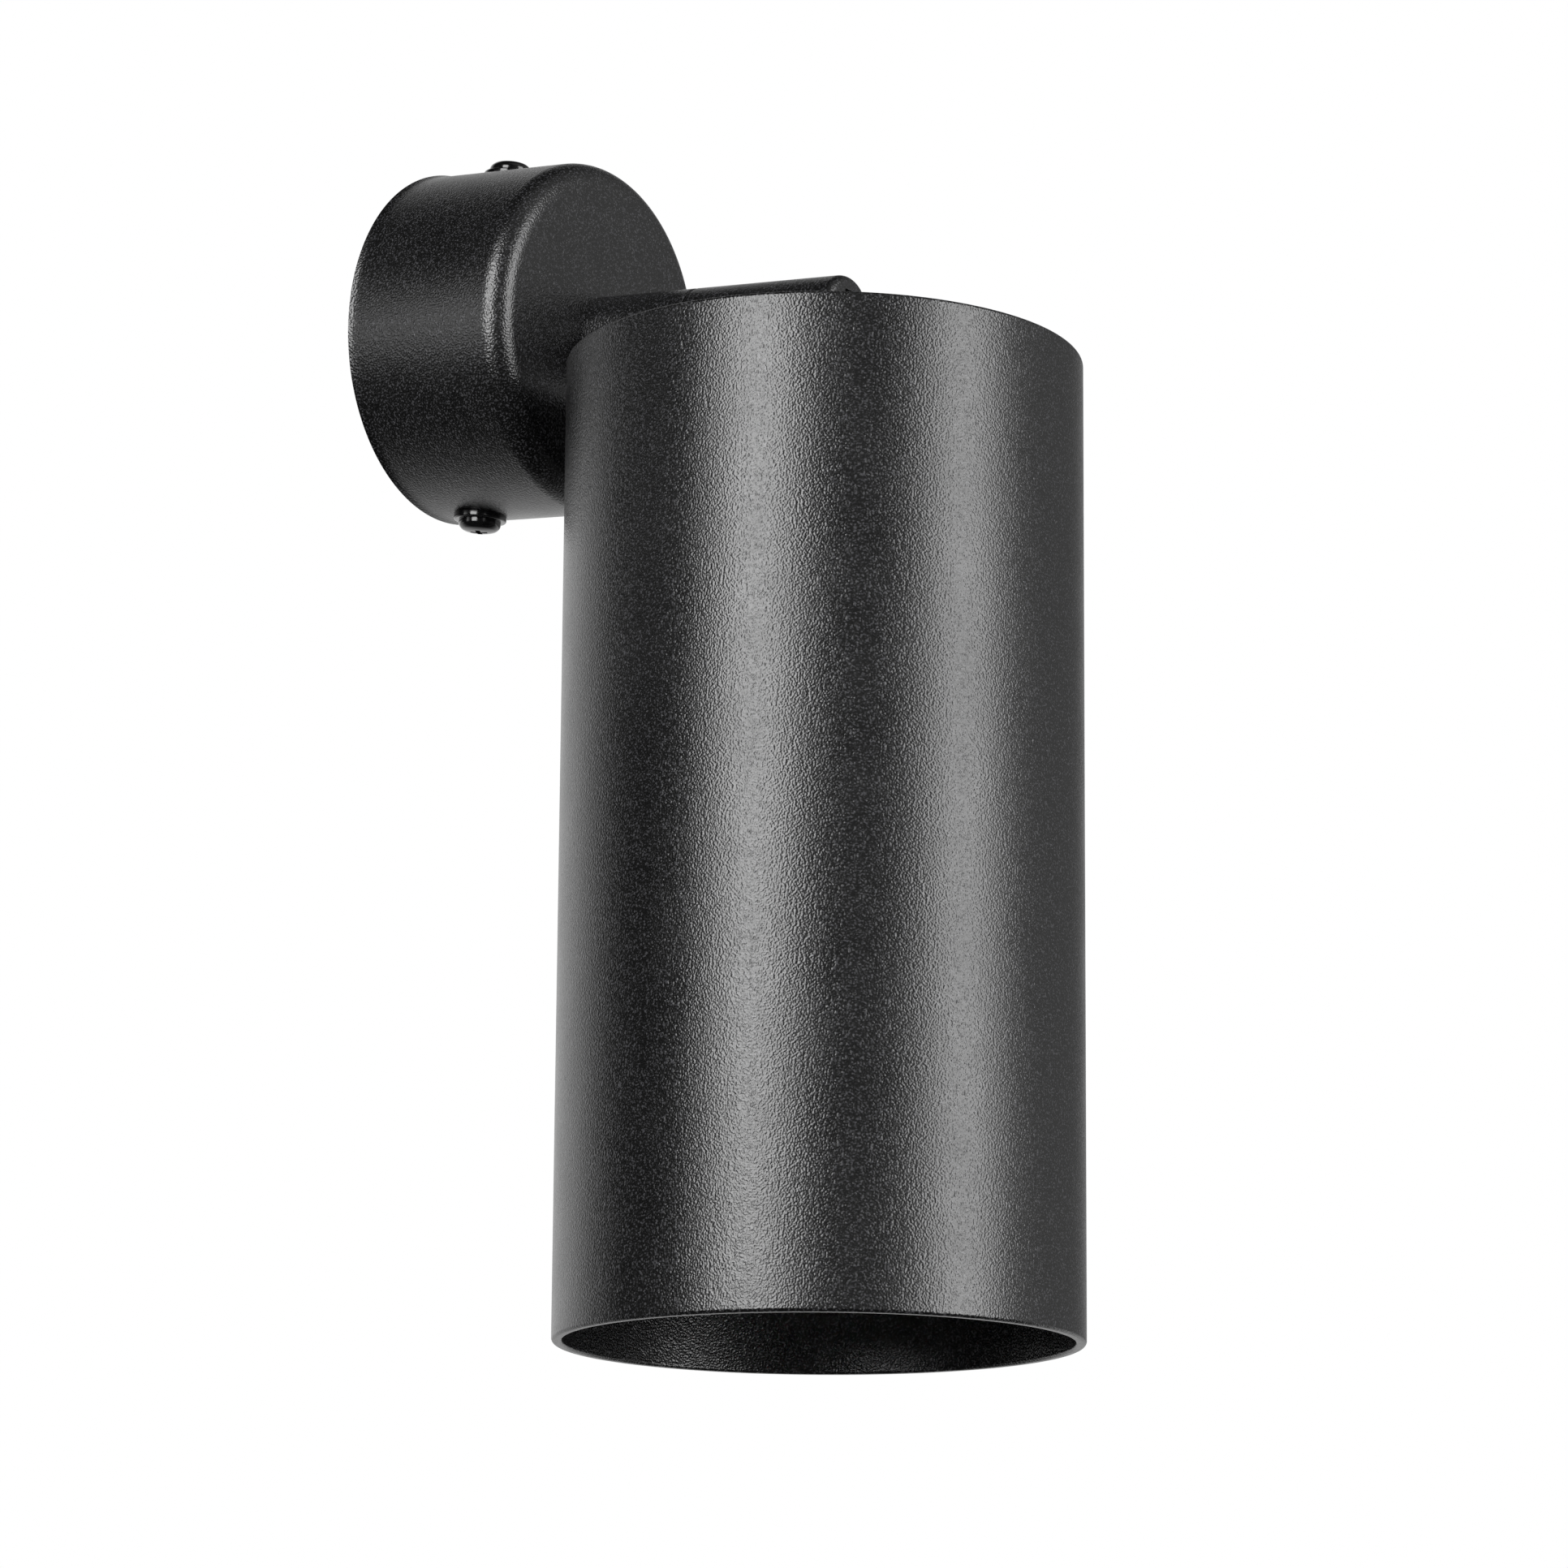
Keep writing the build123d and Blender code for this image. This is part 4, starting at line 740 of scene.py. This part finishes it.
class WALLLIGHT_OT_tongue(bpy.types.Operator):
    """Stamps the tongue that turns in the arm's slot, with its foot on the cap"""

    bl_idname = "wall_light.tongue"
    bl_label = "Tongue and foot"

    def execute(self, context):
        low = -context.scene.wall_light_tube.cap_top / MM
        foot_x, foot_y, foot_thick, corner = 15, 8, 2, 3
        half, end = 1.5, 4.8
        weld_radius, weld_half, reach = 0.8, 4.3, 9
        foot = box("tongue_on_foot", (-foot_x, -foot_y, low), (foot_x, foot_y, low + foot_thick))
        bpy.ops.object.mode_set(mode="EDIT")
        pick("EDGE", lambda e: abs(e.verts[0].co.z - e.verts[1].co.z) > MM)
        bpy.ops.mesh.bevel(offset=corner * MM, segments=8, profile=0.5)
        bpy.ops.object.mode_set(mode="OBJECT")
        blade = box("blade", (-half, -end, low + foot_thick / 2), (half, end, 0))
        combine(blade, rod("round_end", end, -half, half, "X"), "UNION")
        # A strip along each root of the blade stands for its small weld.
        for side in (-1, 1):
            root = (side * half, 0, low + foot_thick)
            combine(blade, rod("weld", weld_radius, -weld_half, weld_half, "Y", at=root, steps=24), "UNION")
        combine(foot, blade, "UNION")
        break_edges(foot, 0.25, 3, 60)
        combine(foot, rod("pivot_hole", SCREW_BORE, -reach, reach, "X", steps=48))
        for x in (-FOOT_SCREW_X, FOOT_SCREW_X):
            combine(foot, rod("screw_hole", SCREW_BORE, low - 1, low + 4, at=(x, 0, 0), steps=48))
        smooth(on_lamp(foot))
        install(foot, "lamp_head", "coated_steel", "tilt_tongue")
        return {"FINISHED"}


class WALLLIGHT_OT_grommets(bpy.types.Operator):
    """Moulds the rubber rings in the wall plate and in the cap"""

    bl_idname = "wall_light.grommets"
    bl_label = "Rubber rings"

    def execute(self, context):
        bore, hole, flange, plate, high = 4.5, 6.95, 8.95, 1.5, 3
        inlet = lathe(
            "inlet_rubber_ring",
            [(bore, 0), (bore, high), (flange, high), (flange, plate), (hole, plate), (hole, 0)],
            [(0, 0.5, 4), (1, 0.6, 5), (2, 0.6, 5), (3, 0.2, 2), (5, 0.3, 3)],
            steps=128,
        )
        smooth(from_wall(inlet))
        install(inlet, "wall_mount", "rubber", "cable_grommet")
        top = -context.scene.wall_light_tube.cap_top / MM
        under = top - context.scene.wall_light_tube.cap_thick / MM
        bore, hole, flange, lip = 2.65, 4.45, 5.95, 1.2
        lead = lathe(
            "lead_rubber_ring",
            [
                (bore, under - lip), (bore, top + lip), (flange, top + lip), (flange, top), (hole, top),
                (hole, under), (flange, under), (flange, under - lip),
            ],
            [(0, 0.4, 4), (1, 0.4, 4), (2, 0.6, 5), (7, 0.6, 5)],
            steps=96,
        )
        place(lead, at=(0, LEAD_Y, 0))
        smooth(on_lamp(lead))
        install(lead, "lamp_head", "rubber", "cap_grommet")
        return {"FINISHED"}


class WALLLIGHT_OT_lampholder(bpy.types.Operator):
    """Moulds the lampholder's shell with its shoulder and its grip grooves"""

    bl_idname = "wall_light.lampholder"
    bl_label = "Lampholder"

    def execute(self, context):
        s = context.scene.wall_light_lamp
        outer, top, shoulder, mouth = s.holder / 2 / MM, -35.8, -47.8, -80.8
        neck, neck_low, roof, seat, inner = 11, top - 5, top - 4, 8, outer - 2.4
        bend = arc_points((neck, neck_low), (1, -0.12), (outer, shoulder), 10)
        shell = lathe(
            "lampholder_with_grooves",
            [
                (STUD_BORE, top), (neck, top), (neck, neck_low), *bend, (outer, mouth), (inner, mouth),
                (inner, shoulder), (seat, shoulder), (seat, roof), (STUD_BORE, roof),
            ],
            [(1, 0.5, 4), (13, 1.0, 6), (14, 0.4, 3)],
            steps=192,
        )
        groove_radius, sunk, plain = 0.9, 0.45, 3
        groove_at, low, high = (outer + sunk, 0, 0), mouth + plain, shoulder - plain
        groove = rod("groove", groove_radius, low, high, at=groove_at, steps=24)
        combine(shell, ring_of(groove, s.ribs))
        smooth(on_lamp(shell))
        install(shell, "lamp_head", "black_plastic", "lampholder_body")
        return {"FINISHED"}


class WALLLIGHT_OT_lamp(bpy.types.Operator):
    """Moulds the lamp's white body with its vent grooves and the opal dome under it"""

    bl_idname = "wall_light.lamp"
    bl_label = "Lamp"

    def execute(self, context):
        s = context.scene.wall_light_lamp
        radius, skin = s.across / 2 / MM, s.skin / MM
        wide, top, joint = radius - skin * 0.3, -84.85, -117.85
        neck, neck_low, lid, lid_radius, rim = 14.5, top - 4, top - 6, 11.5, wide - 2.8
        flare = arc_points((neck, neck_low), (0.25, -1), (wide, joint), 14)
        body = lathe(
            "lamp_body_with_vents",
            [(0, top), (neck, top), (neck, neck_low), *flare, (rim, joint), (lid_radius, lid), (0, lid)],
            [(1, 0.6, 4), (16, 0.3, 3)],
            steps=192,
        )
        # The grooves follow the flare from the neck to a plain band over the joint.
        vent_in, vent_out, vent_half, vent_low, vent_top = 19, 40, 0.7, joint + 7, top - 9
        slope_degrees, slope_from = 24, wide - 8.2
        vent = box("vent", (vent_in, -vent_half, vent_low), (vent_out, vent_half, vent_top))
        slope = box("slope", (0, -5, 0), (22, 5, 60))
        combine(vent, place(slope, (slope_degrees, "Y"), at=(slope_from, 0, joint)), "INTERSECT")
        combine(body, ring_of(vent, s.vents))
        smooth(on_lamp(body), 30)
        install(body, "lamp_head", "white_plastic", "lamp_body")

        middle, top, quarter = -137.85, joint - 0.1, 20
        outside = arc_points((wide, top), (0, -1), (radius, middle), 6)
        inside = arc_points((wide - skin, top), (0, -1), (radius - skin, middle), 6)
        for points, size in ((outside, radius), (inside, radius - skin)):
            points += [(size * cos(pi / 2 * k / quarter), middle - size * sin(pi / 2 * k / quarter))
                       for k in range(1, quarter)]
        dome = lathe(
            "opal_dome",
            [(wide, top), *outside, (0, middle - radius), (0, middle - radius + skin), *reversed(inside),
             (wide - skin, top)],
            [(0, 0.3, 3)],
            steps=192,
        )
        smooth(on_lamp(dome))
        install(dome, "lamp_head", "opal_plastic", "lamp_diffuser")
        return {"FINISHED"}


# ---- studio ----------------------------------------------------------------------------------
# The way the camera looks, and level to its right; the lamps and the surroundings are set from these.
VIEW, RIGHT, UP = Vector((0.817, 0.551, 0.168)), Vector((0.559, -0.829, 0)), Vector((0, 0, 1))
LAMP_AWAY = 1.3  # metres from the middle of the light to each large lamp


def softbox(name, spot, aim, wide, high, watts):
    """Soft rectangular lamp at a spot, facing a place; the camera doesn't see it."""
    clear()
    bpy.ops.object.light_add(type="AREA", location=spot)
    lamp = bpy.context.object
    lamp.name = lamp.data.name = name
    lamp.data.shape = "RECTANGLE"
    lamp.data.size, lamp.data.size_y, lamp.data.energy = wide, high, watts
    lamp.visible_camera = False
    lamp.rotation_euler = (Vector(aim) - Vector(spot)).to_track_quat("-Z", "Y").to_euler()
    return lamp


def lay_floor(scene):
    """Pale floor under the light, whose look for the camera and for gloss is set apart."""
    size, drop, seen_white = 8, 0.75, 0.8
    clear()
    bpy.ops.mesh.primitive_plane_add(size=size, location=(0, 0, -drop))
    floor = bpy.context.object
    floor.name = floor.data.name = "studio_floor"
    material, shader, where = start("pale_studio_floor", tuple(scene.wall_light_colours.floor), 0.85)
    # Gloss sees the floor pale behind the object and dim in front of it, as in a studio whose
    # lamps light the backdrop.
    along = add(material, "ShaderNodeVectorMath", {0: where, 1: (0.829, 0.559, 0)}, operation="DOT_PRODUCT")
    glow = spread(material, along.outputs["Value"], (0.2, 1.0), (0.03, 0.75))
    mirrored = add(material, "ShaderNodeEmission", {"Color": (1, 1, 1, 1), "Strength": glow})
    rays = add(material, "ShaderNodeLightPath")
    seen = add(material, "ShaderNodeMixShader", {0: rays.outputs["Is Glossy Ray"], 1: shader.outputs[0],
                                                 2: mirrored.outputs[0]})
    # The camera sees a nearly white floor that still keeps some of the object's shadow.
    white = add(material, "ShaderNodeEmission", {"Color": (1, 1, 1, 1), "Strength": 1.0})
    part = add(material, "ShaderNodeMath", {0: rays.outputs["Is Camera Ray"], 1: seen_white},
               operation="MULTIPLY")
    pale = add(material, "ShaderNodeMixShader", {0: part.outputs[0], 1: seen.outputs[0],
                                                 2: white.outputs[0]})
    output = material.node_tree.nodes["Material Output"]
    material.node_tree.links.new(pale.outputs[0], output.inputs["Surface"])
    floor.data.materials.append(material)


def surround(scene):
    """White all round for the camera, and a dim studio with one white side for gloss and glass.

    The white side lies behind the object, turned to the left of the view. Away from it gloss sees
    dusk that grows to the right. All else is lit at a low even level from all round.
    """
    white_side = Vector((0.545, 0.838, 0.02))
    white_edge, right_edge = (0.62, 0.92), (0.1, 0.9)
    dim_level, dusk_levels = 0.15, (0.02, 0.3)
    scene.world = world = bpy.data.worlds.new("studio")
    world.use_nodes = True
    world.node_tree.nodes.clear()
    rays = add(world, "ShaderNodeLightPath")
    where = add(world, "ShaderNodeTexCoord").outputs["Generated"]
    ahead = add(world, "ShaderNodeVectorMath", {0: where, 1: white_side}, operation="DOT_PRODUCT")
    behind = spread(world, ahead.outputs["Value"], white_edge, FULL)
    gloss = add(world, "ShaderNodeMath", {0: rays.outputs["Is Glossy Ray"],
                                          1: rays.outputs["Is Transmission Ray"]}, operation="MAXIMUM")
    gloss_behind = add(world, "ShaderNodeMath", {0: gloss.outputs[0], 1: behind}, operation="MULTIPLY")
    white = add(world, "ShaderNodeMath", {0: rays.outputs["Is Camera Ray"], 1: gloss_behind.outputs[0]},
                operation="MAXIMUM")
    aside = add(world, "ShaderNodeVectorMath", {0: where, 1: RIGHT}, operation="DOT_PRODUCT")
    dusk = spread(world, aside.outputs["Value"], right_edge, dusk_levels)
    dim = spread(world, gloss.outputs[0], FULL, (dim_level, dusk))
    level = spread(world, white.outputs[0], FULL, (dim, 1.0))
    backdrop = add(world, "ShaderNodeBackground", {"Color": (1, 1, 1, 1), "Strength": level})
    add(world, "ShaderNodeOutputWorld", {"Surface": backdrop.outputs[0]})


def hang_lamps():
    """Tall soft lamps to the left and right of the camera, a weak one above and one by the canopy."""
    centre = (FRAME_BOX[0] + FRAME_BOX[1]) / 2
    left, right = radians(30.5), radians(60.5)
    left_way = (-VIEW * cos(left) - RIGHT * sin(left) + UP * 0.42).normalized()
    right_way = (-VIEW * cos(right) + RIGHT * sin(right) + UP * 0.3).normalized()
    top_way = Vector((-0.1, -0.35, 1.0)).normalized()
    softbox("left_softbox", centre + left_way * LAMP_AWAY, centre, 0.62, 1.15, 14.6)
    softbox("right_softbox", centre + right_way * LAMP_AWAY, centre, 0.64, 1.4, 12)
    softbox("top_softbox", centre + top_way * LAMP_AWAY, centre, 0.9, 0.9, 0.4)
    # A small narrow-beamed lamp for the side of the canopy, kept off the tube by its spread.
    spot, canopy_side = (-0.125, 0.045, -0.002), (-0.035, -0.026, -0.004)
    side = softbox("reflector_by_canopy", spot, canopy_side, 0.07, 0.14, 0.0024)
    side.data.spread = radians(40)


def set_camera(scene):
    """Camera at the photograph's place, turned as the photograph is."""
    spot = (-0.9099, -0.70224, -0.27958)
    azimuth, elevation, roll = radians(-55.991), radians(9.697), radians(4.458)
    forward = Vector((-sin(azimuth) * cos(elevation), cos(azimuth) * cos(elevation), sin(elevation)))
    level_right = Vector((cos(azimuth), sin(azimuth), 0))
    level_up = level_right.cross(forward)
    camera_right = level_right * cos(roll) + level_up * sin(roll)
    camera_up = level_up * cos(roll) - level_right * sin(roll)
    clear()
    bpy.ops.object.camera_add()
    camera = bpy.context.object
    camera.name = camera.data.name = "photo_camera"
    camera.data.sensor_width = 36
    camera.data.lens = 133.477
    turn = Matrix((camera_right, camera_up, -forward)).transposed().to_4x4()
    camera.matrix_world = Matrix.Translation(spot) @ turn
    scene.camera = camera


class WALLLIGHT_OT_stage(bpy.types.Operator):
    """Sets up the floor, the white surroundings, the soft lamps and the camera"""

    bl_idname = "wall_light.stage"
    bl_label = "Studio"

    def execute(self, context):
        scene = context.scene
        scene.view_settings.view_transform = "Standard"
        lay_floor(scene)
        surround(scene)
        hang_lamps()
        set_camera(scene)
        return {"FINISHED"}


# ---- add-on ----------------------------------------------------------------------------------
STEPS = (
    WALLLIGHT_OT_finishes,
    WALLLIGHT_OT_tube,
    WALLLIGHT_OT_canopy,
    WALLLIGHT_OT_collar_screws,
    WALLLIGHT_OT_arm_base,
    WALLLIGHT_OT_arm_head,
    WALLLIGHT_OT_cap,
    WALLLIGHT_OT_tongue,
    WALLLIGHT_OT_grommets,
    WALLLIGHT_OT_lampholder,
    WALLLIGHT_OT_lamp,
    WALLLIGHT_OT_stage,
)
GROUPS = {
    "wall_light_tube": TubeSizes,
    "wall_light_canopy": CanopySizes,
    "wall_light_arm": ArmSizes,
    "wall_light_lamp": LampSizes,
    "wall_light_colours": FinishColours,
}


class WALLLIGHT_PT_pieces(bpy.types.Panel):
    """Sizes, colours and pieces of the wall light"""

    bl_idname = "WALLLIGHT_PT_pieces"
    bl_label = "Wall light"
    bl_space_type = "VIEW_3D"
    bl_region_type = "UI"
    bl_category = "Wall light"

    def draw(self, context):
        for group in GROUPS:
            values = getattr(context.scene, group)
            column = self.layout.box().column()
            for key in values.__annotations__:
                column.prop(values, key)
        for step in STEPS:
            self.layout.operator(step.bl_idname)


def register():
    for kind in (*GROUPS.values(), *STEPS, WALLLIGHT_PT_pieces):
        bpy.utils.register_class(kind)
    for name, kind in GROUPS.items():
        setattr(bpy.types.Scene, name, bpy.props.PointerProperty(type=kind))


def unregister():
    for name in GROUPS:
        delattr(bpy.types.Scene, name)
    for kind in (WALLLIGHT_PT_pieces, *reversed(STEPS), *reversed(GROUPS.values())):
        bpy.utils.unregister_class(kind)


def main():
    register()
    for step in STEPS:
        group, name = step.bl_idname.split(".")
        getattr(getattr(bpy.ops, group), name)()
    clear()


if __name__ == "__main__":
    main()
